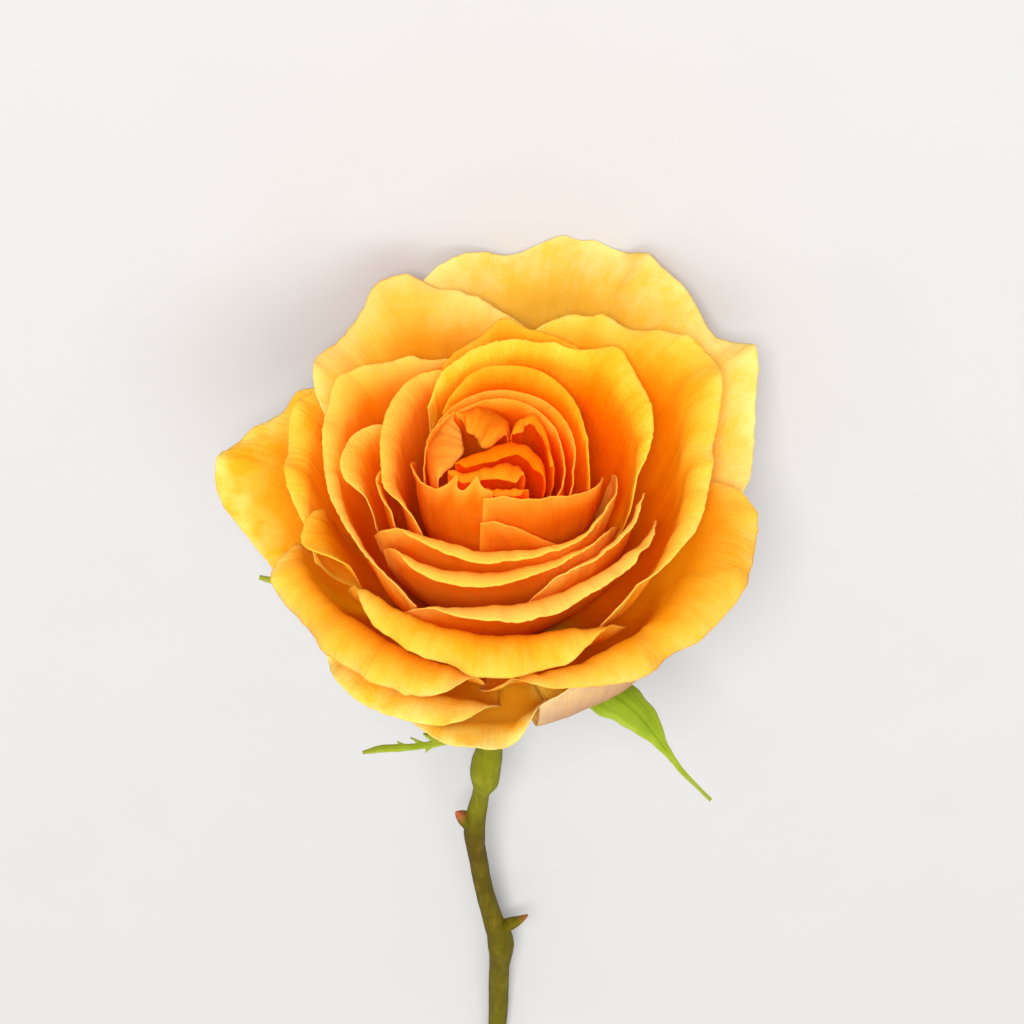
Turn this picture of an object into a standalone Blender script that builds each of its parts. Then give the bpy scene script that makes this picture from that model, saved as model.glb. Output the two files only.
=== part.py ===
"""A cut garden rose lying on a table: a very double head, five sepals and a bare stem.

Every petal is modelled in the flower's own frame, whose z runs out along the flower's axis
from the top of the hip, and the whole flower is then laid down with the empty flower_axis.
Lengths in the tables are millimetres and angles are degrees.
"""

import bmesh
import bpy
import numpy as np
from mathutils import Vector

MM = 0.001
AXIS_TILT = 12.0  # how far the flower's axis points up from the table
HEAD_X, HEAD_Y = 0.27, 64.385  # the top of the hip, from the middle of the space the flower takes up
HIP_HEIGHT = 36.4  # and above the table
PETAL_THICKNESS = 0.36
SEPAL_THICKNESS = 0.7
PRESS_DEPTH = 1.2  # petals this near the table are flattened by the head's weight
HIP_RADIUS, HIP_CAP, HIP_CENTRE = 7.25, 5.3, -4.5  # the hip's upper half is an ellipsoid
CLAW_GAP = 0.5  # between the hip and the claws of the petals
WALL_DROP = 2.2  # from the rim of a heart petal down to where its wall starts to roll over
STEP_AROUND = 12.5  # degrees of a petal to each column of faces

ORANGE, AMBER, YELLOW = (0.90, 0.30, 0.02), (0.93, 0.42, 0.04), (0.93, 0.56, 0.10)
GREEN_YELLOW, LEAF, STEM_GREEN = (0.80, 0.62, 0.10), (0.16, 0.30, 0.04), (0.14, 0.20, 0.05)

# Cup petals from the outside in. "claw" is the angle on the hip where the petal is joined.
# Each station is (bearing round the axis, radius and height of the crest, slope there,
# length of the margin beyond the crest, angle through which that margin turns outwards).
PETALS = {
    "guard_petal_back": dict(claw=86, ends=(0.2, 0.08), colour=GREEN_YELLOW, stations=[
        (-12, 34, 12, 50, 5, 60), (0, 35, 14, 50, 9, 60), (10, 36, 17, 50, 11, 60),
        (20, 37, 20, 50, 12, 55), (29, 37.5, 22, 50, 16, 50), (37, 36.5, 24, 50, 15, 50),
        (51, 35.5, 26, 50, 15, 45), (65, 36, 27, 48, 16, 40), (75, 35.5, 27.5, 48, 14.5, 40),
        (85, 34.5, 28, 48, 12, 40), (98, 33.5, 28, 50, 11.5, 40), (104, 33, 28, 50, 11, 40),
        (114, 32.5, 28, 52, 7, 40)]),
    "guard_petal_left": dict(claw=84, colour=GREEN_YELLOW, ends=(0.06, 0.1), stations=[
        (134, 31.5, 25, 58, 2, 50), (147, 32.3, 25, 55, 4.5, 60), (159, 33, 24.2, 55, 7, 60),
        (167, 33.5, 23, 50, 10, 60),
        (175, 33.5, 21.5, 50, 13.5, 60), (181, 33.5, 19, 50, 13.5, 65), (187, 33.8, 15, 50, 8, 75),
        (192, 34, 11.5, 52, 5, 80), (198, 34, 9, 55, 3.5, 85), (203, 33.5, 8, 58, 3, 85)]),
    "guard_petal_low_left": dict(claw=82, colour=GREEN_YELLOW, stations=[
        (212, 32, 13, 60, 4, 90), (226, 33.5, 12.5, 60, 7, 90), (238, 34.5, 12, 60, 8, 90),
        (250, 34, 11, 60, 8, 90), (262, 33.2, 10, 60, 7, 90), (273, 33, 9, 62, 4, 90)]),
    "guard_petal_near": dict(claw=86, colour=YELLOW, ends=(0.08, 0.08), stations=[
        (245, 34.4, 6, 58, 3, 80), (253, 34.6, 5.6, 58, 5, 80), (261, 34.6, 5.2, 58, 7, 80),
        (270, 34.4, 5, 58, 7.5, 80), (276, 34, 5.2, 58, 6, 80), (282, 32.9, 5.8, 66, 3, 60),
        (288, 31.4, 6.5, 76, 1, 40)]),
    "guard_petal_low_right": dict(claw=86, colour=(0.86, 0.50, 0.24), bulge=0.6, ends=(0.04, 0.1), stations=[
        (283, 35.4, 12, 92, 0.8, 10), (296, 36, 15, 95, 0.8, 10), (308, 36.5, 16, 95, 0.8, 10),
        (322, 36.7, 16, 94, 0.8, 10), (340, 36.2, 15, 90, 0.8, 10)]),
    "outer_petal_low_right": dict(claw=77, colour=YELLOW, stations=[
        (266, 31, 12, 76, 1, 40), (273, 31.8, 14, 74, 2.5, 70), (281, 33.2, 17, 72, 5, 110),
        (291, 34.6, 19.5, 72, 6.5, 125), (300, 35.5, 20.5, 72, 8.5, 130),
        (310, 35.8, 21, 72, 10, 135), (322, 36, 22, 70, 11, 135), (334, 35.5, 22.5, 66, 12, 125),
        (346, 35, 22.5, 62, 13, 110), (356, 35, 22, 60, 11.5, 100), (366, 34.5, 21.5, 60, 8, 90)]),
    "outer_petal_low_left": dict(claw=76, colour=YELLOW, stations=[
        (189, 32.2, 17.5, 74, 4, 110), (197, 32.8, 18, 72, 7.5, 135), (208, 32.8, 18.5, 72, 9, 145),
        (220, 32.3, 19, 72, 9.5, 150), (232, 32, 19, 72, 10, 150), (245, 32, 19, 72, 10, 150),
        (257, 32, 17.5, 72, 9, 150), (268, 32, 15.5, 72, 6, 150)]),
    "outer_petal_left": dict(claw=70, colour=AMBER, ends=(0.05, 0.1), stations=[
        (140, 29.5, 27, 72, 2, 60), (150, 30, 27.5, 70, 4.5, 70), (160, 30.3, 27.5, 68, 6, 75),
        (172, 30.3, 27, 68, 5.5, 80), (184, 30.4, 25.8, 70, 4.5, 80), (193, 31, 22.5, 74, 2.5, 80),
        (200, 31.4, 20, 78, 1.5, 80)]),
    "outer_petal_back_left": dict(claw=73, colour=YELLOW, ends=(0.1, 0.05), stations=[
        (70, 26.8, 30.5, 70, 2, 50), (80, 26.8, 31, 68, 4, 55), (93, 27, 31.5, 66, 6, 60),
        (105, 28, 31.5, 62, 8.5, 60), (112, 28.5, 31.2, 58, 11, 55), (118, 28.7, 31, 56, 12.5, 55),
        (126, 28.5, 30.7, 56, 10, 60), (138, 28, 30.2, 58, 9.5, 60), (148, 27.6, 29.8, 60, 9.5, 60),
        (156, 27.4, 29.2, 62, 7.5, 60), (162, 27.3, 28.8, 66, 4, 60)]),
    "outer_petal_right": dict(claw=70, colour=AMBER, stations=[
        (303, 30.3, 22.5, 85, 1.5, 40), (320, 31.2, 24, 82, 3, 60), (337, 31.8, 26, 80, 5, 90),
        (351, 32, 27.5, 78, 5.5, 90), (2, 32, 29, 75, 6.5, 90), (12, 32.3, 29.5, 72, 8, 85),
        (20, 32.5, 30, 68, 10.5, 75), (28, 32.5, 30, 66, 12, 70), (36, 31, 30.7, 66, 10, 65),
        (46, 29, 31.3, 66, 8.5, 65), (58, 27.3, 31.8, 68, 7.5, 65), (70, 25, 32.3, 70, 6.5, 65),
        (80, 23.2, 32.5, 72, 4.5, 65), (89, 22, 32.3, 76, 2.5, 65)]),
    "outer_petal_left_cup": dict(claw=68, colour=ORANGE, stations=[
        (186, 27.8, 24, 80, 2, 30), (196, 28.4, 24.3, 70, 5, 40), (205, 28.8, 24.4, 64, 7, 45),
        (212, 28.5, 24.4, 72, 4.5, 45), (218, 28, 24.6, 84, 1.5, 40)]),
    "outer_petal_near": dict(claw=72, colour=YELLOW, stations=[
        (214, 29.9, 23.6, 84, 1, 50), (221, 30, 25.2, 80, 3, 90), (230, 29.9, 26.3, 76, 5, 130),
        (244, 29.9, 26, 75, 7.3, 145), (258, 29.7, 25.5, 75, 9.5, 145), (272, 30.1, 25, 75, 10.5, 145),
        (286, 30.5, 24.5, 75, 9.5, 145), (298, 31.6, 23.9, 78, 6.3, 120), (308, 33, 23, 80, 3, 90),
        (315, 33.3, 22.5, 82, 1.5, 60)]),
    "middle_petal_left": dict(claw=63, colour=AMBER, ends=(0.04, 0.1), stations=[
        (100, 21.6, 31.6, 84, 1, 40), (111, 21.2, 32.2, 80, 2, 50), (119, 21, 32.6, 80, 2.5, 60),
        (128, 21.5, 32.8, 78, 4, 65), (140, 22.4, 32.6, 75, 5.5, 65),
        (150, 24, 32, 72, 7, 65), (160, 24.9, 31, 72, 5.5, 70), (175, 25.2, 29.6, 75, 4, 75),
        (190, 25.2, 28.4, 78, 3, 80), (203, 25.2, 28, 80, 2, 80), (216, 25.2, 27.5, 82, 2, 80),
        (231, 25.8, 26.5, 85, 1.5, 70), (242, 26.2, 26.2, 88, 1, 60)]),
    "middle_petal_near": dict(claw=67, colour=AMBER, stations=[
        (235, 28.1, 25.3, 84, 1.5, 50), (246, 27.8, 26.1, 80, 3.3, 70), (258, 26.8, 26.9, 78, 5.3, 85),
        (272, 25.8, 27.2, 77, 6.5, 90), (286, 25.8, 27.2, 77, 6.5, 90), (298, 25.8, 27.5, 78, 5.8, 85),
        (312, 26.5, 27.7, 78, 5.3, 80), (328, 27.8, 27.8, 78, 4.5, 75), (340, 28.6, 28, 80, 3.5, 70),
        (350, 28.8, 28.2, 84, 1.5, 60)]),
    "middle_petal_near_right": dict(claw=63, colour=AMBER, stations=[
        (284, 22.9, 27.6, 86, 1, 50), (300, 23.4, 28.2, 84, 1.5, 60), (318, 24.1, 28.6, 84, 2, 65),
        (336, 25, 29.1, 84, 2, 65), (350, 25.7, 29.4, 84, 1.5, 60), (359, 26, 29.5, 86, 1, 50)]),
    "middle_petal_back": dict(claw=60, colour=AMBER, ends=(0.05, 0.05), stations=[
        (44, 25.8, 32.5, 80, 2, 50), (55, 24.8, 33, 78, 2.5, 60), (68, 23, 33.5, 76, 3.5, 65),
        (78, 21.7, 33.8, 74, 4.5, 60), (85, 21, 34, 72, 6, 60), (93, 20.2, 33.8, 74, 4.5, 65),
        (106, 19.2, 33.6, 78, 3.5, 65), (119, 18.8, 33.2, 80, 2, 60)]),
    "middle_petal_back_right": dict(claw=50, colour=AMBER, ends=(0.1, 0.04), stations=[
        (343, 23.8, 28.5, 85, 1, 50), (352, 24, 30, 83, 2.5, 70), (1, 24.1, 31, 80, 4, 80),
        (12, 24.3, 31.6, 78, 5, 80), (26, 24.2, 32.4, 75, 6, 75), (36, 24, 33, 72, 7, 70),
        (43, 23.8, 33.3, 70, 7.5, 65), (54, 22.3, 34, 76, 3.5, 65), (66, 20.6, 34.5, 78, 4, 65),
        (80, 18.8, 34.8, 78, 4, 65), (94, 17.3, 34.8, 78, 4, 65), (108, 16.1, 34.7, 80, 3.5, 65),
        (122, 15.2, 34.4, 82, 3, 60), (137, 14.4, 34, 84, 1.5, 50)]),
    "middle_petal_left_tip": dict(claw=57.6, colour=YELLOW, stations=[
        (152, 19, 31.6, 82, 1.5, 50), (160, 19.6, 31.7, 78, 2.5, 60), (168, 20.3, 31.3, 74, 4, 60),
        (178, 21, 30.8, 70, 4.5, 65), (187, 21.4, 30.4, 70, 4.5, 70), (194, 21.6, 29.9, 74, 3.5, 70),
        (200, 21.6, 29.4, 82, 1.5, 60)]),
    "inner_petal_near_outer": dict(claw=60, colour=AMBER, stations=[
        (212, 22.1, 28.4, 84, 1, 50), (222, 22.1, 28.7, 80, 2.5, 70), (236, 21.5, 28.7, 77, 4.3, 85),
        (250, 20.7, 28.5, 76, 5, 90), (266, 20.1, 28.4, 76, 5.5, 90), (284, 20, 28.7, 77, 4.8, 90),
        (298, 20.6, 29, 80, 3, 85), (314, 21.7, 29.1, 82, 2, 75), (330, 22.5, 29.2, 84, 1.5, 60),
        (342, 22.7, 29.3, 86, 1, 50)]),
    "inner_petal_near": dict(claw=52, colour=YELLOW, stations=[
        (203, 21.9, 28.5, 86, 1, 40), (210, 21.3, 29.7, 82, 2.5, 70), (220, 19.6, 30.3, 80, 3.8, 80),
        (235, 17.7, 30.4, 78, 4, 85), (250, 16.9, 30.2, 77, 4.8, 85), (265, 16.8, 30.1, 77, 5, 85),
        (282, 17.4, 30.1, 77, 4.3, 85), (296, 18.5, 30.1, 80, 3.3, 80), (312, 19.6, 30.2, 82, 2, 75),
        (330, 20.7, 30.4, 84, 1.5, 70), (350, 21.2, 30.7, 86, 1.2, 60), (367, 20.6, 31.4, 88, 1, 50)]),
    "inner_petal_left_slip": dict(claw=52.8, colour=ORANGE, stations=[
        (176, 18.5, 30.2, 86, 1, 40), (190, 18.6, 30.2, 84, 1.2, 50), (202, 18.7, 29.8, 85, 1.2, 50),
        (213, 18.6, 29.4, 86, 1, 40)]),
    "inner_petal_left": dict(claw=50, colour=YELLOW, ends=(0.04, 0.12), stations=[
        (98, 18.2, 32.4, 84, 1, 40), (108, 17.7, 33, 82, 1.5, 50), (117, 17.2, 33.4, 80, 2.5, 50),
        (128, 17, 33.4, 78, 3.5, 60), (143, 16.2, 33, 75, 4.5, 65),
        (162, 15.8, 32.2, 75, 4.5, 65), (180, 15.6, 31.4, 75, 4, 65), (200, 16.2, 30.8, 78, 3.5, 65),
        (216, 16.4, 30.5, 82, 2.3, 60), (228, 16.4, 30.1, 86, 1, 50)]),
    "inner_petal_back": dict(claw=41, colour=ORANGE, ends=(0.1, 0.04), stations=[
        (342, 16.6, 30, 88, 1, 40), (356, 16.3, 31.5, 86, 1.5, 50), (15, 15.8, 33, 84, 1.5, 55),
        (41, 15.6, 33.7, 82, 2.5, 60), (60, 15, 34, 80, 3.5, 60), (80, 14.2, 34.2, 80, 3.5, 60),
        (96, 13.6, 34.2, 80, 3.5, 60), (114, 12.8, 34, 82, 2.5, 60), (132, 12.3, 33.6, 84, 1.5, 50)]),
    "bud_petal_right": dict(claw=41, colour=ORANGE, bulge=0.5, ends=(0.02, 0.1), stations=[
        (263, 10.6, 35.8, 100, 1, 20), (285, 10.9, 35.8, 98, 1, 20), (304, 12.3, 34.8, 96, 1, 20),
        (326, 15, 33.2, 92, 1, 30), (344, 18, 31.6, 88, 1, 40), (358, 18.6, 31, 88, 1, 40)]),
    "bud_petal_low_right": dict(claw=46, colour=ORANGE, bulge=0.5, ends=(0.02, 0.1), stations=[
        (262, 12.4, 31.6, 98, 1, 10), (280, 12.9, 31, 97, 1, 10), (296, 14.2, 28.6, 95, 1, 10),
        (310, 16, 25.4, 92, 1, 10), (322, 17.2, 23, 88, 1, 10)]),
    "bud_petal_left": dict(claw=32, colour=ORANGE, bulge=0.5, ends=(0.1, 0.02), stations=[
        (168, 12.7, 30, 88, 1, 40), (186, 12.8, 31.2, 88, 2, 40), (205, 12.4, 32.2, 90, 1.5, 30),
        (230, 10.9, 35, 98, 1, 10), (255, 9.8, 36, 102, 1, 10), (272, 9.5, 36.2, 102, 1, 10)]),
    "bud_petal_back_outer": dict(claw=35, colour=ORANGE, ends=(0.08, 0.08), stations=[
        (324, 13.6, 29.5, 92, 1, 30), (338, 14.1, 30.5, 90, 1, 40), (355, 13.8, 31.5, 88, 1, 50),
        (15, 13.3, 32.5, 86, 1.5, 50),
        (40, 12.8, 33.2, 86, 2, 50), (65, 12.2, 33.4, 86, 2, 50), (90, 11.7, 33.3, 88, 2, 50),
        (112, 11.3, 33, 88, 2, 50), (132, 11.4, 32.6, 88, 2, 50), (150, 12, 32, 90, 1, 40)]),
    "bud_petal_back": dict(claw=29, colour=ORANGE, ends=(0.08, 0.08), stations=[
        (314, 11.5, 30.5, 94, 1, 30), (328, 12.1, 31, 93, 1, 30), (345, 12.3, 31.5, 92, 1, 40),
        (5, 11.8, 32.3, 90, 1, 40), (30, 11, 33, 88, 1.5, 50),
        (60, 10.3, 33.3, 88, 2, 50), (90, 9.9, 33.2, 88, 2, 50), (115, 9.8, 33, 90, 1.5, 50),
        (140, 10.2, 32.8, 90, 1.5, 50), (165, 10.9, 32.3, 90, 1.5, 50), (185, 11.2, 31.6, 90, 1, 40),
        (200, 11.3, 30.8, 90, 1, 30)]),
}

# Folded petals of the heart: a claw on the hip, the wall it climbs and the rim it rolls over to,
# each of the last two a line of (x, y) across the petal, with the rim's height and the roll's rise.
HEART = {
    "heart_petal_left": dict(claw=(-1.5, 0.6), rim_height=35.4, lift=3,
        wall=[(-6.5, 6.9), (-8.2, 5.2), (-9.8, 2.6), (-10.3, -0.8), (-9.8, -4), (-8.5, -6)],
        rim=[(-5.6, 4.9), (-5.2, 3.2), (-4.9, 1.4), (-4.9, -0.9), (-6.1, -2.7), (-7.3, -4.6)]),
    "heart_petal_top": dict(claw=(0, 1.6), rim_height=35.6, lift=3.8,
        wall=[(-5.4, 7.6), (-4, 8.1), (-1.8, 8.4), (0.6, 8.2), (2.2, 6.9), (2.8, 4.8), (2.6, 3.2)],
        rim=[(-4.6, 4.9), (-3.9, 3.4), (-2.9, 2.8), (-2.3, 2), (-1.8, 0.8), (-0.5, 0.5), (1.5, 1.8)]),
    "heart_petal_centre": dict(claw=(0.7, 0.2), rim_height=36.4, lift=1.7,
        wall=[(-5.9, -3.3), (-4.3, -2), (-1.5, -1.1), (0.8, 0.2), (3.1, 1.3), (5.2, 0.8), (7, -1),
              (8.5, -3.4), (8.8, -6.2)],
        rim=[(-5.6, -4.3), (-4, -3.9), (-1.5, -3), (0.6, -2.6), (2.7, -1.7), (4.4, -1.6), (5.8, -2.8),
             (6.8, -4.6), (7.6, -6.6)]),
    "heart_petal_right": dict(claw=(1.8, 1.4), rim_height=35.7, lift=1.8,
        wall=[(3.5, 3.3), (3.9, 5), (5, 6.4), (6.3, 6.9), (7.7, 6), (9, 3.4), (9.7, 0.2), (10, -3.8)],
        rim=[(4.9, 2.6), (5.3, 3.6), (5.8, 4.5), (6.5, 5), (7.2, 4.4), (8.2, 2.4), (9, -0.4), (9.4, -4)]),
    "heart_petal_near_left": dict(claw=(-0.4, -0.8), rim_height=35, lift=1.5,
        wall=[(-6.9, -5), (-4.5, -5), (-1.8, -4.1), (0.4, -3.4), (2.6, -2.6), (4.3, -3.1), (5.3, -5)],
        rim=[(-6.1, -6.5), (-4, -6.8), (-1.6, -6.3), (0.6, -6), (2.7, -6.4), (3.9, -6.7), (4.7, -6.7)]),
    "heart_petal_near": dict(claw=(0.8, -1.7), rim_height=34, lift=1.3,
        wall=[(-3, -7.4), (-0.6, -7.1), (1.8, -7), (4.2, -7.4), (6.1, -7.3)],
        rim=[(-2.8, -8.4), (-0.6, -8.6), (1.8, -8.7), (4, -8.6), (5.7, -8.3)]),
}

# Sepals: a midrib through points (x, y, z) from the hip to the tip, and the half widths there.
SEPALS = {
    "sepal_left": dict(rib=[(-7.2, -0.2, -6.2), (-14, -0.5, -7.6), (-24, -0.3, -7.4), (-33, 0.4, -6.0),
                            (-40.5, 1.6, -4.6)], width=[2.0, 3.4, 2.6, 1.2, 0.35]),
    "sepal_near_left": dict(rib=[(-0.9, -7.2, -6.2), (-1.6, -14, -8.2), (-3.2, -21.5, -9.6),
                                 (-7.1, -27.8, -10.0), (-12.2, -29.3, -10.2), (-18.2, -30, -9.8),
                                 (-21.9, -31, -9.6)], width=[2.0, 3.2, 2.0, 0.75, 0.55, 0.65, 0.25]),
    "sepal_near_right": dict(rib=[(4.4, -5.7, -6.2), (10.5, -11, -9.0), (17.5, -15.5, -10.4),
                                  (24.5, -21.2, -11.6), (29.6, -27, -14.6), (33, -30.2, -17.8),
                                  (37.6, -33.6, -21)], width=[2.2, 3.6, 4.4, 3.3, 0.9, 0.4, 0.25]),
    "sepal_back_right": dict(rib=[(5.4, 4.8, -6.2), (11, 9.4, -7.8), (18.5, 15.4, -8.2), (25, 20, -7.4),
                                  (30.5, 23.5, -5.6)], width=[2.0, 3.4, 2.6, 1.2, 0.35]),
    "sepal_back_left": dict(rib=[(-3.0, 6.6, -6.2), (-6.6, 13.5, -7.8), (-11.5, 22, -8.2),
                                 (-15.6, 29.4, -7.2), (-18.6, 35.5, -5.4)], width=[2.0, 3.4, 2.6, 1.2, 0.35]),
}

# The stem, from the hip to the cut: (distance below the hip's top, sideways shift, rise of the
# stem off the flower's axis, which lets its cut end lie flat on the table, radius).
STEM = [(-0.6, 0, 0, 1.8), (0.1, 0, 0, 3.7), (1.3, 0, 0, 5.5), (2.6, 0, 0, 6.6), (4.5, 0, 0, 7.2),
        (7.0, 0, 0, 6.8), (9.5, 0, 0, 5.6), (12.5, 0, 0, 4.2), (17, -0.1, 0, 3.2), (30, -0.2, 0, 2.5),
        (45, -0.3, 0, 2.2), (55, -0.4, 0, 2.1), (58.5, -0.6, 0, 2.3), (61.5, -1.0, 0, 2.7),
        (65, -1.4, 0, 2.9), (69, -1.6, 0, 2.75), (71.5, -1.6, 0, 2.5), (73.2, -1.9, 0, 2.0),
        (74.8, -2.3, 0, 1.7), (77, -2.6, 0, 1.7), (81, -3.1, 0, 1.85), (86, -3.6, 0, 2.0),
        (90, -3.8, 0.1, 2.1), (94, -3.7, 0.1, 1.9), (101, -3.1, 0.1, 1.85), (109.5, -2.4, 0.2, 1.8),
        (117.5, -1.4, 0.4, 1.9), (121.5, -0.8, 0.4, 1.95), (126, -0.1, 0.5, 2.2), (130, 0.8, 0.6, 2.5),
        (136, 1.2, 0.7, 2.6), (139.5, 1.1, 0.8, 2.3), (143, 0.9, 0.9, 2.1), (151.5, 0.7, 1.1, 2.1),
        (160.5, 0.6, 1.4, 2.0), (171, 0.3, 1.75, 1.9), (175, 0.2, 1.9, 1.9)]


def smooth(xs, ys, x):
    """A cubic through the points, with the slope at each taken from its neighbours."""
    xs, ys = np.asarray(xs, float), np.asarray(ys, float)
    slopes = np.gradient(ys, xs, axis=0)
    i = np.clip(np.searchsorted(xs, x, side="right") - 1, 0, len(xs) - 2)
    h = xs[i + 1] - xs[i]
    t = (x - xs[i]) / h
    return ((2 * t**3 - 3 * t**2 + 1) * ys[i] + (t**3 - 2 * t**2 + t) * h * slopes[i]
            + (3 * t**2 - 2 * t**3) * ys[i + 1] + (t**3 - t**2) * h * slopes[i + 1])


def bezier(p0, p1, p2, p3, t):
    t = t[:, None]
    return (1 - t) ** 3 * p0 + 3 * t * (1 - t) ** 2 * p1 + 3 * t**2 * (1 - t) * p2 + t**3 * p3


def direction(degrees):
    return np.array([np.cos(np.radians(degrees)), np.sin(np.radians(degrees))])


def profile(claw, crest, slope, margin, turn, bulge):
    """One upright section of a cup petal: (distance along, radius, height) down a fine line."""
    beta = np.radians(claw)
    base = np.array([(HIP_RADIUS + CLAW_GAP) * np.sin(beta),
                     HIP_CENTRE + (HIP_CAP + CLAW_GAP) * np.cos(beta)])
    reach = np.linalg.norm(crest - base)
    line = bezier(base, base + 0.42 * reach * direction(90 - claw),
                  crest - bulge * reach * direction(slope), crest, np.linspace(0, 1, 40))
    steps = np.linspace(0, 1, 17)[1:]
    headings = np.radians(slope - turn * (steps - 0.5 / 16))
    curl = np.cumsum(np.stack([np.cos(headings), np.sin(headings)], 1), axis=0) * margin / 16
    line = np.concatenate([line, crest + curl])
    lengths = np.concatenate([[0], np.cumsum(np.linalg.norm(np.diff(line, axis=0), axis=1))])
    return lengths, line


def cup_petal(spec, across, up):
    """Rows of points from claw to margin over a petal that stands round the axis."""
    stations = np.array(spec["stations"], float)
    bearings = np.where(stations[:, 0] < stations[0, 0], stations[:, 0] + 360, stations[:, 0])
    first, last = bearings[0], bearings[-1]
    middle = (first + last) / 2
    rows = 1 - (1 - np.linspace(0, 1, up + 1)) ** 1.15
    grid = np.zeros((up + 1, across + 1, 3))
    for j, a in enumerate(np.linspace(-1, 1, across + 1)):
        bearing = middle + a * (last - first) / 2
        radius, height, slope, margin, turn = smooth(bearings, stations[:, 1:], bearing)
        lengths, line = profile(spec["claw"], np.array([radius, height]), slope, margin, turn,
                                spec.get("bulge", 0.38))
        cut = 1 - spec.get("ends", (0.2, 0.2))[int(a > 0)] * abs(a) ** 5
        at = rows * cut * lengths[-1]
        r, z = np.interp(at, lengths, line[:, 0]), np.interp(at, lengths, line[:, 1])
        width = np.clip(0.3 + 1.35 * rows, 0, 1) ** 1.2
        phi = np.radians(middle + (bearing - middle) * width)
        grid[:, j] = np.stack([r * np.cos(phi), r * np.sin(phi), z], 1)
    return grid


def heart_petal(spec, across, up):
    """Rows of points over a folded petal of the heart, from its claw by its wall to its rim."""
    ends = np.linspace(0, 1, len(spec["wall"]))
    u = np.linspace(0, 1, across + 1)
    wall = np.array([smooth(ends, spec["wall"], x) for x in u])
    rim = np.array([smooth(ends, spec["rim"], x) for x in u])
    claw = np.array(spec["claw"])
    low = HIP_CENTRE + (HIP_CAP + CLAW_GAP) * np.sqrt(
        1 - (np.linalg.norm(claw) / (HIP_RADIUS + CLAW_GAP)) ** 2)
    top, crest = spec["rim_height"], spec["rim_height"] - WALL_DROP
    climb = up // 2
    grid = np.zeros((up + 1, across + 1, 3))
    middle = wall.mean(axis=0)
    for j in range(across + 1):
        start = claw + 0.09 * (wall[j] - middle)
        shoulder = wall[j] + 0.45 * (rim[j] - wall[j])
        grid[:climb, j] = bezier(
            np.array([*start, low]), np.array([*(start + 0.75 * (wall[j] - start)), low + 15]),
            np.array([*wall[j], crest - 8]), np.array([*wall[j], crest]),
            np.linspace(0, 1, climb + 1)[:-1])
        grid[climb:, j] = bezier(
            np.array([*wall[j], crest]), np.array([*wall[j], crest + WALL_DROP]),
            np.array([*shoulder, top + spec["lift"]]), np.array([*rim[j], top]),
            np.linspace(0, 1, up - climb + 1))
    return grid


def lay_frame():
    tilt = np.radians(AXIS_TILT)
    return np.array([[1, 0, 0], [0, np.sin(tilt), -np.cos(tilt)], [0, np.cos(tilt), np.sin(tilt)]])


def press(points):
    """Points that would sink into the table, or nearly touch it, are eased up to it."""
    frame = lay_frame()
    world = points @ frame + np.array([0, 0, HIP_HEIGHT])
    low = world[..., 2] - PETAL_THICKNESS / 2
    soft = PRESS_DEPTH * np.logaddexp(0, low / PRESS_DEPTH * 1.6) / 1.6
    world[..., 2] += np.where(low < 4 * PRESS_DEPTH, soft - low, 0)
    return (world - np.array([0, 0, HIP_HEIGHT])) @ frame.T


def material(name, colour, roughness=0.6):
    mat = bpy.data.materials.new(name)
    mat.use_nodes = True
    shader = mat.node_tree.nodes["Principled BSDF"]
    shader.inputs["Base Color"].default_value = (*colour, 1)
    shader.inputs["Roughness"].default_value = roughness
    shader.inputs["Metallic"].default_value = 0.0
    return mat


def settle(obj, name, mat, axis, parts):
    obj.name = obj.data.name = name
    obj.data.materials.clear()
    obj.data.materials.append(mat)
    for collection in list(obj.users_collection):
        collection.objects.unlink(obj)
    parts.objects.link(obj)
    obj.parent = axis
    obj.data.shade_smooth()
    return obj


def sheet(name, grid, thickness, mat, axis, parts, even=True):
    """A grid plane bent to the rows of points, with Solidify for its thickness."""
    rows, columns = grid.shape[:2]
    bpy.ops.mesh.primitive_grid_add(x_subdivisions=columns - 1, y_subdivisions=rows - 1, size=1)
    obj = bpy.context.active_object
    obj.data.vertices.foreach_set("co", (grid * MM).reshape(-1).astype(np.float32))
    obj.data.update()
    shell = obj.modifiers.new("thickness", "SOLIDIFY")
    shell.thickness = thickness * MM
    shell.offset = 0
    shell.use_even_offset = even
    return settle(obj, name, mat, axis, parts)


def sepal(spec, across, up):
    """Rows of points over a narrow leaf along its midrib, its edges a little raised."""
    rib = np.array(spec["rib"], float)
    ends = np.linspace(0, 1, len(rib))
    rows = np.linspace(0, 1, up + 1)
    spine = np.array([smooth(ends, rib, x) for x in rows])
    half = np.array([smooth(ends, spec["width"], x) for x in rows])
    ahead = np.gradient(spine, axis=0)
    side = np.cross(ahead, [0, 0, 1])
    side /= np.linalg.norm(side, axis=1)[:, None]
    a = np.linspace(-1, 1, across + 1)
    grid = spine[:, None] + side[:, None] * (a[None, :, None] * half[:, None, None])
    grid[..., 2] -= 0.25 * a[None] ** 2 * half[:, None]
    return grid


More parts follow.
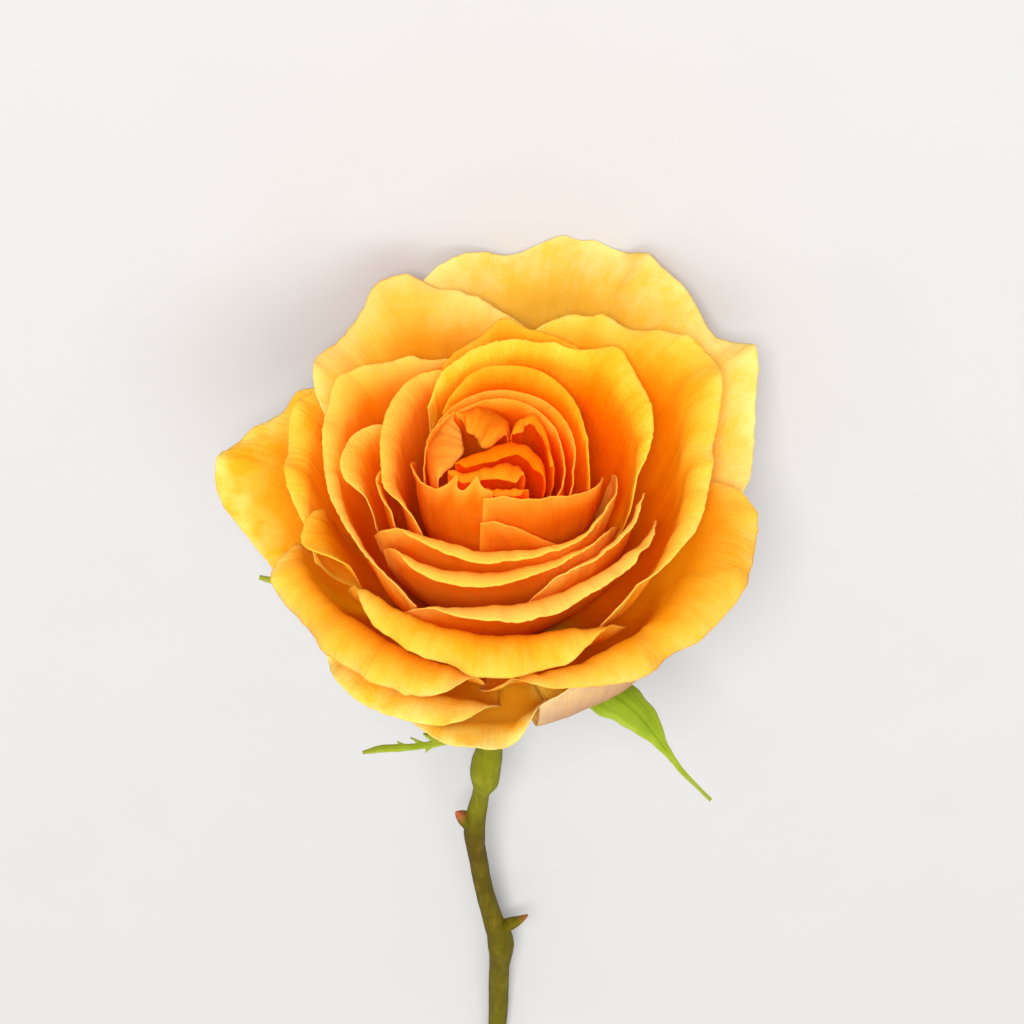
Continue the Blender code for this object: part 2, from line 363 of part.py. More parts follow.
def curve_body(name, points, radii, resolution):
    """A closed round body that follows the points, made a mesh so that it can be joined."""
    data = bpy.data.curves.new(name, "CURVE")
    data.dimensions = "3D"
    data.bevel_depth = MM
    data.bevel_resolution = resolution
    data.use_fill_caps = True
    spline = data.splines.new("POLY")
    spline.points.add(len(points) - 1)
    for point, place, radius in zip(spline.points, points, radii):
        point.co = (*[c * MM for c in place], 1)
        point.radius = radius
    curve = bpy.data.objects.new(name + "_path", data)
    bpy.context.scene.collection.objects.link(curve)
    graph = bpy.context.evaluated_depsgraph_get()
    mesh = bpy.data.meshes.new_from_object(curve.evaluated_get(graph))
    edit = bmesh.new()
    edit.from_mesh(mesh)
    bmesh.ops.remove_doubles(edit, verts=edit.verts, dist=1e-6)
    bmesh.ops.recalc_face_normals(edit, faces=edit.faces)
    edit.to_mesh(mesh)
    edit.free()
    bpy.data.objects.remove(curve)
    return bpy.data.objects.new(name, mesh)


def build():
    for obj in list(bpy.data.objects):
        bpy.data.objects.remove(obj)
    parts = bpy.data.collections.new("rose")
    helpers = bpy.data.collections.new("rose_cutters")
    for collection in (parts, helpers):
        bpy.context.scene.collection.children.link(collection)
    axis = bpy.data.objects.new("flower_axis", None)
    axis.rotation_euler = (np.radians(AXIS_TILT - 90), 0, 0)
    axis.location = (HEAD_X * MM, HEAD_Y * MM, HIP_HEIGHT * MM)
    helpers.objects.link(axis)

    for name, spec in PETALS.items():
        first, last = spec["stations"][0][0], spec["stations"][-1][0]
        span = (last - first) % 360
        grid = cup_petal(spec, max(5, round(span / STEP_AROUND)), 8)
        sheet(name, press(grid), PETAL_THICKNESS, material(name, spec["colour"]), axis, parts)
    for name, spec in HEART.items():
        grid = heart_petal(spec, 2 * len(spec["wall"]) - 2, 7)
        sheet(name, grid, PETAL_THICKNESS, material(name, ORANGE), axis, parts, even=False)
    for name, spec in SEPALS.items():
        sheet(name, sepal(spec, 4, 12), SEPAL_THICKNESS, material(name, LEAF), axis, parts)

    bend = [(x, -rise, -s) for s, x, rise, _ in STEM]
    stem = curve_body("stem", bend, [spot[3] for spot in STEM], 4)
    settle(stem, "stem", material("stem", STEM_GREEN, 0.5), axis, parts)
    stubs = [("bud", [(-3.9, 0.1, -88.5), (-4.9, 0.2, -86.2), (-6.0, 0.2, -84.6), (-7.1, 0.2, -83.2)],
              [1.7, 1.9, 1.35, 0.35]),
             ("bract", [(1.0, -0.6, -128), (3.2, -0.7, -125.8), (5.0, -0.8, -124.0), (6.4, -0.8, -122.3)],
              [1.6, 1.45, 0.9, 0.3])]
    for name, points, radii in stubs:
        stub = curve_body(name, points, radii, 3)
        stub.hide_render = True
        stub.display_type = "WIRE"
        stub.parent = axis
        helpers.objects.link(stub)
        join = stem.modifiers.new(name, "BOOLEAN")
        join.operation = "UNION"
        join.solver = "EXACT"
        join.object = stub
    return parts


build()
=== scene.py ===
import bpy
import numpy as np
from mathutils import Matrix


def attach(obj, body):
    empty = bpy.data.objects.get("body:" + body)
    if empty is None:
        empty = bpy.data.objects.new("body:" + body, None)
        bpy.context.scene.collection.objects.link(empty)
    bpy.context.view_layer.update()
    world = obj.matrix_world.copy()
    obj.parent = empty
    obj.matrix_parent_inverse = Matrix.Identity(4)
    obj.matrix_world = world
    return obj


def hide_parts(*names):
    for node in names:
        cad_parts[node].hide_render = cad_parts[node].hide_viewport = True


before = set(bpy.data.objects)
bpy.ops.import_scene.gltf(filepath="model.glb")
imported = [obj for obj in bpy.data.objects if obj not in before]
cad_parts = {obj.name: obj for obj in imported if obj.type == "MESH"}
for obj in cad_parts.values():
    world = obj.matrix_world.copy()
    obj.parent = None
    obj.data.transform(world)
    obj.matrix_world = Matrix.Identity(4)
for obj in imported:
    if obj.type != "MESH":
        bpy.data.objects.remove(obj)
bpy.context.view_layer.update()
print("frame loaded:", len(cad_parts), "solids")

# All shapes are worked out in millimetres in the flower's own frame: z runs out along the
# flower's axis from the top of the hip, and bearings go round it from the flower's right.
mm = 0.001
lying = {  # how the flower lies: its tilt over the table, the hip's place, how the table presses it
    "tilt": 12.0, "x": 0.27, "y": 64.385, "height": 36.4, "clear": 0.2, "press": 1.2, "sharp": 1.6,
    "pressedZone": 4,
}
hip = {"radius": 7.25, "cap": 5.3, "centre": -4.5, "gap": 0.5}
fine = {  # how finely the sheets are divided, and how thick they are
    "degreesAround": 1.15, "rowsUp": 46, "fewestColumns": 40, "sectionSteps": 80, "curlSteps": 40,
    "heartAcross": 72, "heartUp": 54, "sepalRows": 181, "sepalColumns": 23, "petalThickness": 0.22,
    "sepalThickness": 0.45,
}
cup = {"belly": 0.42, "bulge": 0.38, "ends": (0.2, 0.2), "foot": 0.62, "spread": 1.35, "taper": 1.2}
ruffles = {  # how far a petal's sections stray from their drawn shape, in mm and degrees
    "radius": 0.16, "height": 0.32, "slope": 1.0, "margin": 0.10, "curl": 11, "tipCurl": 17,
    "nick": 0.0045, "fullMargin": 6,
}


# ---- curves and sheets
def smoothAlong(xs, ys, x):
    xs, ys = np.asarray(xs, float), np.asarray(ys, float)
    slopes = np.gradient(ys, xs, axis=0)
    i = np.clip(np.searchsorted(xs, x, side="right") - 1, 0, len(xs) - 2)
    h = xs[i + 1] - xs[i]
    t = (x - xs[i]) / h
    return ((2 * t**3 - 3 * t**2 + 1) * ys[i] + (t**3 - 2 * t**2 + t) * h * slopes[i]
            + (3 * t**2 - 2 * t**3) * ys[i + 1] + (t**3 - t**2) * h * slopes[i + 1])


def bezierLine(p0, p1, p2, p3, t):
    t = t[:, None]
    return (1 - t) ** 3 * p0 + 3 * t * (1 - t) ** 2 * p1 + 3 * t**2 * (1 - t) * p2 + t**3 * p3


def heading(degrees):
    return np.array([np.cos(np.radians(degrees)), np.sin(np.radians(degrees))])


def wander(x, seed, lengths=(31, 17, 9.5)):  # a slow irregular wave between about -1 and 1
    draw = np.random.default_rng(seed)
    parts = [np.sin(2 * np.pi * (x / length + draw.random())) for length in lengths]
    return sum(part * share for part, share in zip(parts, (0.5, 0.35, 0.25)))


def smoothStep(x):
    x = np.clip(x, 0, 1)
    return x * x * (3 - 2 * x)


def cupSection(claw, crest, slope, margin, turn, bulge):  # one upright section of a cup petal
    lean = np.radians(claw)
    base = np.array([(hip["radius"] + hip["gap"]) * np.sin(lean),
                     hip["centre"] + (hip["cap"] + hip["gap"]) * np.cos(lean)])
    reach = np.linalg.norm(crest - base)
    line = bezierLine(base, base + cup["belly"] * reach * heading(90 - claw),
                      crest - bulge * reach * heading(slope), crest,
                      np.linspace(0, 1, fine["sectionSteps"]))
    count = fine["curlSteps"]
    steps = np.linspace(0, 1, count + 1)[1:]
    turned = np.radians(slope - turn * (steps - 0.5 / count))
    curl = np.cumsum(np.stack([np.cos(turned), np.sin(turned)], 1), axis=0) * margin / count
    line = np.concatenate([line, crest + curl])
    lengths = np.concatenate([[0], np.cumsum(np.linalg.norm(np.diff(line, axis=0), axis=1))])
    return lengths, line


def cupSheet(look):  # rows of points from the claw to the margin
    stations = np.array(look["stations"], float)
    bearings = np.where(stations[:, 0] < stations[0, 0], stations[:, 0] + 360, stations[:, 0])
    first, last = bearings[0], bearings[-1]
    middle = (first + last) / 2
    columns = max(fine["fewestColumns"], round((last - first) / fine["degreesAround"]))
    rows = 1 - (1 - np.linspace(0, 1, fine["rowsUp"] + 1)) ** 1.25
    grid = np.zeros((len(rows), columns + 1, 3))
    rim = np.zeros((len(rows), columns + 1))
    ruffle, seed = look["ruffle"], look["seed"]
    for j, a in enumerate(np.linspace(-1, 1, columns + 1)):
        bearing = middle + a * (last - first) / 2
        radius, height, slope, margin, turn = smoothAlong(bearings, stations[:, 1:], bearing)
        around = np.radians(bearing) * radius
        free = min(1, margin / ruffles["fullMargin"]) * ruffle
        tip = 1 - 2.4 * abs(wander(around, seed + 300, (43, 21, 11)))
        radius += ruffles["radius"] * ruffle * wander(around, seed)
        height += ruffles["height"] * ruffle * wander(around, seed + 100, (29, 16, 8.5))
        slope += ruffles["slope"] * free * wander(around, seed + 200, (29, 15, 8))
        margin *= 1 + ruffles["margin"] * ruffle * tip
        turn += free * (ruffles["curl"] * wander(around, seed + 400, (37, 19, 10))
                        - ruffles["tipCurl"] * tip)
        lengths, line = cupSection(look["claw"], np.array([radius, height]), slope, margin, turn,
                                   look.get("bulge", cup["bulge"]))
        cut = 1 - look.get("ends", cup["ends"])[int(a > 0)] * abs(a) ** 5
        cut *= 1 - ruffles["nick"] * ruffle * (
            1 - 1.6 * abs(wander(around, seed + 500, (5.2, 2.9, 1.7))))
        at = rows * cut * lengths[-1]
        r, z = np.interp(at, lengths, line[:, 0]), np.interp(at, lengths, line[:, 1])
        width = np.clip(look.get("foot", cup["foot"]) + cup["spread"] * rows, 0, 1) ** cup["taper"]
        phi = np.radians(middle + (bearing - middle) * width)
        grid[:, j] = np.stack([r * np.cos(phi), r * np.sin(phi), z], 1)
        side = (1 - abs(a)) * np.radians(last - first) / 2 * r
        rim[:, j] = np.minimum(at[-1] - at, 2 * side)  # the sides' lips are half as wide
    return grid, rim


def sheetNormals(grid):
    up, across = np.gradient(grid, axis=0), np.gradient(grid, axis=1)
    normals = np.cross(across, up)
    return normals / np.maximum(np.linalg.norm(normals, axis=2), 1e-9)[..., None]


def crease(grid, rim, look):  # soft folds that fan out from the claw, strongest near the margin
    rows, columns = grid.shape[:2]
    rise = np.linspace(0, 1, rows)[:, None]
    width = np.linalg.norm(np.diff(grid[rows // 2], axis=0), axis=1).sum()
    around = width * np.linspace(0, 1, columns)[None, :]
    seed = look["seed"] + 600
    folds = wander(around + 2.5 * wander(rise * 40, seed), seed + 1, (15, 8.3, 4.7))
    small = wander(around + 1.5 * wander(rise * 25, seed + 2), seed + 3, (3.3, 2.1, 1.3))
    amount = look.get("crease", 0.3) * smoothStep((rise - 0.25) / 0.6) * (0.6 + 0.4 * np.exp(-rim / 4))
    shift = amount * (folds + 0.28 * small)
    return grid + sheetNormals(grid) * shift[..., None]


def heartSheet(look):  # a folded petal: claw, wall, and the rim it rolls over to
    ends = np.linspace(0, 1, len(look["wall"]))
    u = np.linspace(0, 1, fine["heartAcross"] + 1)
    wall = np.array([smoothAlong(ends, look["wall"], x) for x in u])
    rimLine = np.array([smoothAlong(ends, look["rim"], x) for x in u])
    claw = np.array(look["claw"], float)
    low = hip["centre"] + (hip["cap"] + hip["gap"]) * np.sqrt(
        1 - (np.linalg.norm(claw) / (hip["radius"] + hip["gap"])) ** 2)
    top, crest = look["rimHeight"], look["rimHeight"] - 2.2
    up, climb = fine["heartUp"], fine["heartUp"] // 2
    grid = np.zeros((up + 1, len(u), 3))
    middle = wall.mean(axis=0)
    for j in range(len(u)):
        around = u[j] * 30
        start = claw + 0.09 * (wall[j] - middle)
        full = 0.3 + 0.7 * smoothStep(min(u[j], 1 - u[j]) / 0.13)  # the ends taper
        rimLine[j] = wall[j] + full * (rimLine[j] - wall[j])
        rise = look["lift"] * full * (1 + 0.2 * wander(around, look["seed"] + 10, (17, 9, 5)))
        inward = look.get("inward", 0.45) + 0.1 * wander(around, look["seed"] + 20, (17, 9, 5))
        shoulder = wall[j] + inward * (rimLine[j] - wall[j])
        edge = top + 0.5 * look["crumple"] * wander(around, look["seed"] + 30, (11, 5, 2.7))
        grid[:climb, j] = bezierLine(
            np.array([*start, low]), np.array([*(start + 0.75 * (wall[j] - start)), low + 15]),
            np.array([*wall[j], crest - 8]), np.array([*wall[j], crest]),
            np.linspace(0, 1, climb + 1)[:-1])
        grid[climb:, j] = bezierLine(
            np.array([*wall[j], crest]), np.array([*wall[j], crest + 2.2]),
            np.array([*shoulder, top + rise]), np.array([*rimLine[j], edge]),
            np.linspace(0, 1, up - climb + 1))
    steps = np.linalg.norm(np.diff(grid, axis=0), axis=2)
    walked = np.concatenate([np.zeros((1, len(u))), np.cumsum(steps, axis=0)])
    rim = np.minimum(walked[-1] - walked, (np.minimum(u, 1 - u) * 24)[None, :])
    around = (u * 30)[None, :] + 2 * wander(walked, look["seed"] + 40)
    shift = look["crumple"] * smoothStep((walked - walked[-1] + 14) / 8) * (
        wander(around, look["seed"] + 50, (15, 8, 4.6))
        + 0.5 * wander(walked + 0.4 * around, look["seed"] + 60, (9, 5.3, 3.1)))
    return grid + sheetNormals(grid) * shift[..., None], rim


def lyingFrame():  # rows: the flower's x, y and z as directions over the table
    tilt = np.radians(lying["tilt"])
    return np.array([[1, 0, 0], [0, np.sin(tilt), -np.cos(tilt)], [0, np.cos(tilt), np.sin(tilt)]])


def overTable(points):  # from the flower's frame to the table's
    return points @ lyingFrame() + np.array([lying["x"], lying["y"], lying["height"]])


def pressed(points):  # what would sink into the table, or nearly touch it, is eased up to it
    placed = overTable(points)
    low = placed[..., 2] - lying["clear"]
    soft = lying["press"] * np.logaddexp(0, low / lying["press"] * lying["sharp"]) / lying["sharp"]
    placed[..., 2] += np.where(low < lying["pressedZone"] * lying["press"], soft - low, 0)
    return placed


# ---- materials
class Link:  # wraps a socket, so that shader maths reads as arithmetic
    def __init__(self, shader, socket):
        self.shader, self.socket = shader, socket

    def maths(self, kind, *others):
        return self.shader.node("ShaderNodeMath", {"operation": kind}, [self, *others])

    def __add__(self, other):
        return self.maths("ADD", other)

    def __radd__(self, other):
        return self.maths("ADD", other)

    def __sub__(self, other):
        return self.maths("SUBTRACT", other)

    def __rsub__(self, other):
        return self.shader.node("ShaderNodeMath", {"operation": "SUBTRACT"}, [other, self])

    def __mul__(self, other):
        return self.maths("MULTIPLY", other)

    def __rmul__(self, other):
        return self.maths("MULTIPLY", other)

    def __truediv__(self, other):
        return self.maths("DIVIDE", other)

    def __pow__(self, other):
        return self.maths("POWER", other)

    def clipped(self):
        return self.shader.node("ShaderNodeMath", {"operation": "ADD", "use_clamp": True}, [self, 0.0])


class Shader:
    def __init__(self, name):
        self.material = bpy.data.materials.new(name)
        self.material.use_nodes = True
        self.tree = self.material.node_tree
        self.surface = self.tree.nodes["Principled BSDF"]
        self.output = self.tree.nodes["Material Output"]

    def node(self, kind, settings=None, inputs=None, out=0):  # settings first, then sockets
        made = self.tree.nodes.new(kind)
        for key, value in (settings or {}).items():
            if key == "stops":
                ramp = made.color_ramp
                while len(ramp.elements) < len(value):
                    ramp.elements.new(0.5)
                for element, (place, colour) in zip(ramp.elements, value):
                    element.position, element.color = place, (*colour, 1)
            else:
                setattr(made, key, value)
        pairs = inputs.items() if isinstance(inputs, dict) else enumerate(inputs or [])
        for key, value in pairs:
            self.feed(made.inputs[key], value)
        return Link(self, made.outputs[out])

    def feed(self, socket, value):
        if isinstance(value, Link):
            self.tree.links.new(value.socket, socket)
        elif isinstance(value, tuple) and len(value) == 3 and socket.type == "RGBA":
            socket.default_value = (*value, 1)
        else:
            socket.default_value = value

    def attribute(self, name):
        return self.node("ShaderNodeAttribute", {"attribute_name": name}, out="Fac")

    def place(self, scale, source="Object"):
        here = self.node("ShaderNodeTexCoord", out=source)
        return self.node("ShaderNodeMapping", {}, {"Vector": here, "Scale": scale})

    def noise(self, scale, detail=3.0, rough=0.55, vector=None):
        vector = vector or self.place((1, 1, 1))
        return self.node("ShaderNodeTexNoise", {},
                         {"Vector": vector, "Scale": scale, "Detail": detail, "Roughness": rough})

    def mix(self, factor, a, b):
        node = self.tree.nodes.new("ShaderNodeMix")
        node.data_type = "RGBA"
        for socket, value in ((node.inputs[0], factor), (node.inputs[6], a), (node.inputs[7], b)):
            self.feed(socket, value)
        return Link(self, node.outputs[2])

    def set(self, **values):
        names = {"baseColor": "Base Color", "roughness": "Roughness", "normal": "Normal",
                 "specular": "Specular IOR Level"}
        for key, value in values.items():
            self.feed(self.surface.inputs[names[key]], value)

    def bump(self, height, strength, distance):
        inputs = {"Height": height, "Strength": strength, "Distance": distance}
        return self.node("ShaderNodeBump", {}, inputs)


petalTones = {
    "deep": (0.975, 0.19, 0.0005), "orange": (0.98, 0.33, 0.001), "amber": (0.985, 0.48, 0.018),
    "gold": (0.985, 0.61, 0.065), "green": (0.82, 0.82, 0.26),
    "blush": (0.60, 0.38, 0.22),
}
# rise and lip also paint light and shade: the deeper tone towards the claw is partly painted shade of
# the cup, and the paler lips, up to each whorl's palest colour, are partly painted light on the rolled
# rims
toneWeights = {"rise": 0.3, "lip": 0.38, "blotch": 0.42, "streak": 0.24, "speckle": 0.24, "back": 0.04}
toneStops = (0.0, 0.28, 0.54, 0.78, 1.0)
whorls = {  # red: how red it is; palest, lipWidth, lipShare: its lips; share, through: light let through
    "guard_petals": {"red": 0.94, "palest": (0.985, 0.71, 0.23), "lipWidth": 14.0, "share": 0.62,
                     "lipShare": 0.25, "through": (0.93, 0.62, 0.14)},
    "outer_petals": {"red": 0.95, "palest": (0.985, 0.68, 0.17), "lipWidth": 13.0, "share": 0.7,
                     "lipShare": 0.3, "through": (0.97, 0.58, 0.06)},
    "middle_petals": {"red": 0.99, "palest": (0.985, 0.65, 0.11), "lipWidth": 8.0, "share": 0.82,
                      "lipShare": 0.36, "through": (1.0, 0.55, 0.02)},
    "inner_petals": {"red": 1.0, "palest": (0.985, 0.63, 0.08), "lipWidth": 6.0, "share": 0.84,
                     "lipShare": 0.36, "through": (1.0, 0.53, 0.006)},
    "heart_petals": {"red": 1.0, "palest": (0.985, 0.59, 0.085), "lipWidth": 5.0, "share": 0.78,
                     "lipShare": 0.2, "through": (1.0, 0.42, 0.002)},
}


def petalMaterial(name, look, slotName):
    shader = Shader(name)
    rise, rim, back = (shader.attribute(key) for key in ("rise", "rim", "back"))
    blotch = shader.noise(210, 4)
    speckle = shader.noise(2100, 2)
    streak = shader.noise(1.0, 4, 0.6, shader.place((55, 2.2, 1), "UV"))
    veins = shader.noise(1.0, 2, 0.5, shader.place((17, 0.8, 1), "UV"))
    whorl = whorls[slotName]
    # Painted light and shade: the tone falls towards the claw, partly the petal's own colour and partly
    # painted shade deep in the cup, and rises at the lips, partly their own paler margin and partly
    # painted light on the rims that roll out to the light
    lip = (1 - (rim / look.get("lipWidth", whorl["lipWidth"])).clipped()) ** 1.4
    weight = toneWeights
    tone = (look["tone"] + weight["rise"] * (rise - 0.75) + look.get("lip", weight["lip"]) * lip
            + weight["blotch"] * (blotch - 0.5) + look.get("streak", weight["streak"]) * (streak - 0.5)
            + weight["speckle"] * (speckle - 0.5) - weight["back"] * back)
    tones = [petalTones[key] for key in ("deep", "orange", "amber", "gold")] + [whorl["palest"]]
    stops = [(place, (red * whorl["red"], green, blue))
             for place, (red, green, blue) in zip(toneStops, tones)]
    colour = shader.node("ShaderNodeValToRGB", {"stops": stops}, [tone.clipped()])
    if look["green"]:
        tip = ((rise - 0.72) * 3.2).clipped() * ((blotch - 0.38) * 3.2).clipped() * look["green"]
        colour = shader.mix(tip.clipped(), colour, petalTones["green"])
    if look.get("blush"):
        rosy = (back * look["blush"] * (1.15 - 0.3 * rise) * (0.45 + blotch)).clipped()
        colour = shader.mix(rosy, colour, petalTones["blush"])
    colour = shader.mix(((0.47 - veins) * 1.8).clipped() * 0.3, colour, petalTones["orange"])
    shader.set(baseColor=colour, roughness=0.52 + 0.2 * speckle, specular=0.04,
               normal=shader.bump(streak * 0.8 + speckle * 0.4 + veins * 0.7, 0.6, 0.0006))
    through = shader.node("ShaderNodeBsdfTranslucent", {}, {"Color": whorl["through"]})
    share = look.get("share", whorl["share"]) - whorl["lipShare"] * lip  # less at the lips
    skin = Link(shader, shader.surface.outputs[0])
    both = shader.node("ShaderNodeMixShader", {}, [share, skin, through])
    shader.feed(shader.output.inputs["Surface"], both)
    return shader.material


# ---- making pieces
def deselectAll():
    if bpy.context.mode != "OBJECT":
        bpy.ops.object.mode_set(mode="OBJECT")
    bpy.ops.object.select_all(action="DESELECT")


def useOnly(piece):
    deselectAll()
    piece.select_set(True)
    bpy.context.view_layer.objects.active = piece


def keepPiece(piece, name, material, node):
    piece.name = piece.data.name = name
    piece.data.materials.clear()
    piece.data.materials.append(material)
    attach(piece, "root")
    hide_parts(node)
    return piece


def addSheet(points, thickness, marks):  # a grid bent to the rows of points and given its thickness
    rows, columns = points.shape[:2]
    deselectAll()
    bpy.ops.mesh.primitive_grid_add(x_subdivisions=columns - 1, y_subdivisions=rows - 1, size=0.1)
    piece = bpy.context.active_object
    piece.data.vertices.foreach_set("co", (points * mm).reshape(-1).astype(np.float32))
    for key, values in marks.items():
        layer = piece.data.attributes.new(key, "FLOAT", "POINT")
        layer.data.foreach_set("value", values.reshape(-1).astype(np.float32))
    piece.data.update()
    shell = piece.modifiers.new("thickness", "SOLIDIFY")
    shell.thickness, shell.offset, shell.use_even_offset = thickness * mm, 0, False
    bpy.ops.object.modifier_apply(modifier="thickness")
    back = np.zeros(len(piece.data.vertices), np.float32)
    back[:rows * columns] = 1
    piece.data.attributes.new("back", "FLOAT", "POINT").data.foreach_set("value", back)
    piece.data.shade_smooth()
    return piece


def cupPetal(name, look, node, slotName):
    grid, rim = cupSheet(look)
    grid = crease(grid, rim, look)
    rise = np.repeat(np.linspace(0, 1, grid.shape[0])[:, None], grid.shape[1], axis=1)
    piece = addSheet(pressed(grid), fine["petalThickness"], {"rise": rise, "rim": rim})
    keepPiece(piece, name, petalMaterial(name + "Skin", look, slotName), node)


def heartPetal(name, look, node, slotName):
    grid, rim = heartSheet(look)
    rise = np.repeat(np.linspace(0, 1, grid.shape[0])[:, None], grid.shape[1], axis=1)
    piece = addSheet(overTable(grid), fine["petalThickness"], {"rise": rise, "rim": rim})
    look = {"green": 0, "streak": 0.12, **look}
    keepPiece(piece, name, petalMaterial(name + "Skin", look, slotName), node)


guardPetalBack = {
    "claw": 86, "ends": (0.2, 0.08), "ruffle": 0.7, "seed": 11, "tone": 0.74, "blush": 0.45,
    "crease": 0.45,
    "lip": 0.14, "green": 0.8,
    "stations": [
        (-12, 34, 12, 50, 5, 60), (0, 35, 14, 50, 9, 60), (10, 36, 17, 50, 11, 60),
        (20, 37, 20, 50, 12, 55), (29, 37.5, 22, 50, 16, 50), (37, 36.5, 24, 50, 15, 50),
        (51, 35.5, 26, 50, 15, 45), (65, 36, 27, 48, 16, 40), (75, 35.5, 27.5, 48, 14.5, 40),
        (85, 34.5, 28, 48, 12, 40), (98, 33.5, 28, 50, 11.5, 40), (104, 33, 28, 50, 11, 40),
        (114, 32.5, 28, 52, 7, 40)
    ],
}
cupPetal("guardPetalBack", guardPetalBack, "guard_petal_back", "guard_petals")

guardPetalLeft = {
    "claw": 84, "ruffle": 0.8, "seed": 12, "tone": 0.38, "blush": 0.45, "crease": 0.45,
    "lip": 0.2, "green": 0.9,
    "ends": (0.06, 0.1),
    "stations": [
        (134, 31.5, 25, 58, 2, 50), (147, 32.3, 25, 55, 4.5, 60), (159, 33, 24.2, 55, 7, 60),
        (167, 33.5, 23, 50, 10, 60), (175, 33.5, 21.5, 50, 13.5, 60),
        (181, 33.5, 19, 50, 13.5, 65), (187, 33.8, 15, 50, 8, 75), (192, 34, 11.5, 52, 5, 80),
        (198, 34, 9, 55, 3.5, 85), (203, 33.5, 8, 58, 3, 85)
    ],
}
cupPetal("guardPetalLeft", guardPetalLeft, "guard_petal_left", "guard_petals")

guardPetalLowLeft = {
    "claw": 82, "ruffle": 0.85, "seed": 13, "tone": 0.5, "blush": 0.45, "crease": 0.45,
    "lip": 0.18, "green": 1.0,
    "stations": [
        (212, 32, 13, 60, 4, 90), (226, 33.5, 12.5, 60, 7, 90), (238, 34.5, 12, 60, 8, 90),
        (250, 34, 11, 60, 8, 90), (262, 33.2, 10, 60, 7, 90), (273, 33, 9, 62, 4, 90)
    ],
}
cupPetal("guardPetalLowLeft", guardPetalLowLeft, "guard_petal_low_left", "guard_petals")

guardPetalNear = {
    "claw": 86, "ruffle": 0.8, "seed": 14, "tone": 0.4, "blush": 0.45, "lipWidth": 6.5,
    "crease": 0.4, "lip": 0.5,
    "green": 0.9, "ends": (0.08, 0.08),
    "stations": [
        (245, 34.4, 6, 58, 3, 80), (253, 34.6, 5.6, 58, 5, 80), (261, 34.6, 5.2, 58, 7, 80),
        (270, 34.4, 5, 58, 7.5, 80), (276, 34, 5.2, 58, 6, 80), (282, 32.9, 5.8, 66, 3, 60),
        (288, 31.4, 6.5, 76, 1, 40)
    ],
}
cupPetal("guardPetalNear", guardPetalNear, "guard_petal_near", "guard_petals")

guardPetalLowRight = {
    "claw": 86, "ruffle": 0.3, "seed": 15, "tone": 0.7, "share": 0.35, "green": 0.1, "blush": 1.0,
    "ends": (0.04, 0.1), "bulge": 0.6,
    "stations": [
        (283, 35.4, 12, 92, 0.8, 10), (296, 36, 15, 95, 0.8, 10), (308, 36.5, 16, 95, 0.8, 10),
        (322, 36.7, 16, 94, 0.8, 10), (340, 36.2, 15, 90, 0.8, 10)
    ],
}
cupPetal("guardPetalLowRight", guardPetalLowRight, "guard_petal_low_right", "guard_petals")

outerPetalLowRight = {
    "claw": 77, "ruffle": 0.75, "seed": 21, "tone": 0.42, "share": 0.8, "crease": 0.45, "green": 0.12,
    "stations": [
        (266, 31, 12, 76, 1, 40), (273, 31.8, 14, 74, 2.5, 70), (281, 33.2, 17, 72, 5, 110),
        (291, 34.6, 19.5, 72, 6.5, 125), (300, 35.5, 20.5, 72, 8.5, 130),
        (310, 35.8, 21, 72, 10, 135), (322, 36, 22, 70, 11, 135), (334, 35.5, 22.5, 66, 12, 125),
        (346, 35, 22.5, 62, 13, 110), (356, 35, 22, 60, 11.5, 100), (366, 34.5, 21.5, 60, 8, 90)
    ],
}
cupPetal("outerPetalLowRight", outerPetalLowRight, "outer_petal_low_right", "outer_petals")

outerPetalLowLeft = {
    "claw": 76, "ruffle": 0.75, "seed": 22, "tone": 0.44, "lipWidth": 10, "crease": 0.42, "green": 0.1,
    "stations": [
        (189, 32.2, 17.5, 74, 4, 110), (197, 32.8, 18, 72, 7.5, 135),
        (208, 32.8, 18.5, 72, 9, 145), (220, 32.3, 19, 72, 9.5, 150), (232, 32, 19, 72, 10, 150),
        (245, 32, 19, 72, 10, 150), (257, 32, 17.5, 72, 9, 150), (268, 32, 15.5, 72, 6, 150)
    ],
}
cupPetal("outerPetalLowLeft", outerPetalLowLeft, "outer_petal_low_left", "outer_petals")

outerPetalLeft = {
    "claw": 70, "ruffle": 0.75, "seed": 23, "tone": 0.28, "foot": 0.34, "crease": 0.4, "green": 0.1,
    "ends": (0.05, 0.1),
    "stations": [
        (140, 29.5, 27, 72, 2, 60), (150, 30, 27.5, 70, 4.5, 70), (160, 30.3, 27.5, 68, 6, 75),
        (172, 30.3, 27, 68, 5.5, 80), (184, 30.4, 25.8, 70, 4.5, 80), (193, 31, 22.5, 74, 2.5, 80),
        (200, 31.4, 20, 78, 1.5, 80)
    ],
}
cupPetal("outerPetalLeft", outerPetalLeft, "outer_petal_left", "outer_petals")

outerPetalBackLeft = {
    "claw": 73, "ruffle": 0.75, "seed": 24, "tone": 0.62, "foot": 0.34, "crease": 0.45, "green": 0.15,
    "ends": (0.1, 0.05),
    "stations": [
        (70, 26.8, 30.5, 70, 2, 50), (80, 26.8, 31, 68, 4, 55), (93, 27, 31.5, 66, 6, 60),
        (105, 28, 31.5, 62, 8.5, 60), (112, 28.5, 31.2, 58, 11, 55), (118, 28.7, 31, 56, 12.5, 55),
        (126, 28.5, 30.7, 56, 10, 60), (138, 28, 30.2, 58, 9.5, 60),
        (148, 27.6, 29.8, 60, 9.5, 60), (156, 27.4, 29.2, 62, 7.5, 60), (162, 27.3, 28.8, 66, 4, 60)
    ],
}
cupPetal("outerPetalBackLeft", outerPetalBackLeft, "outer_petal_back_left", "outer_petals")

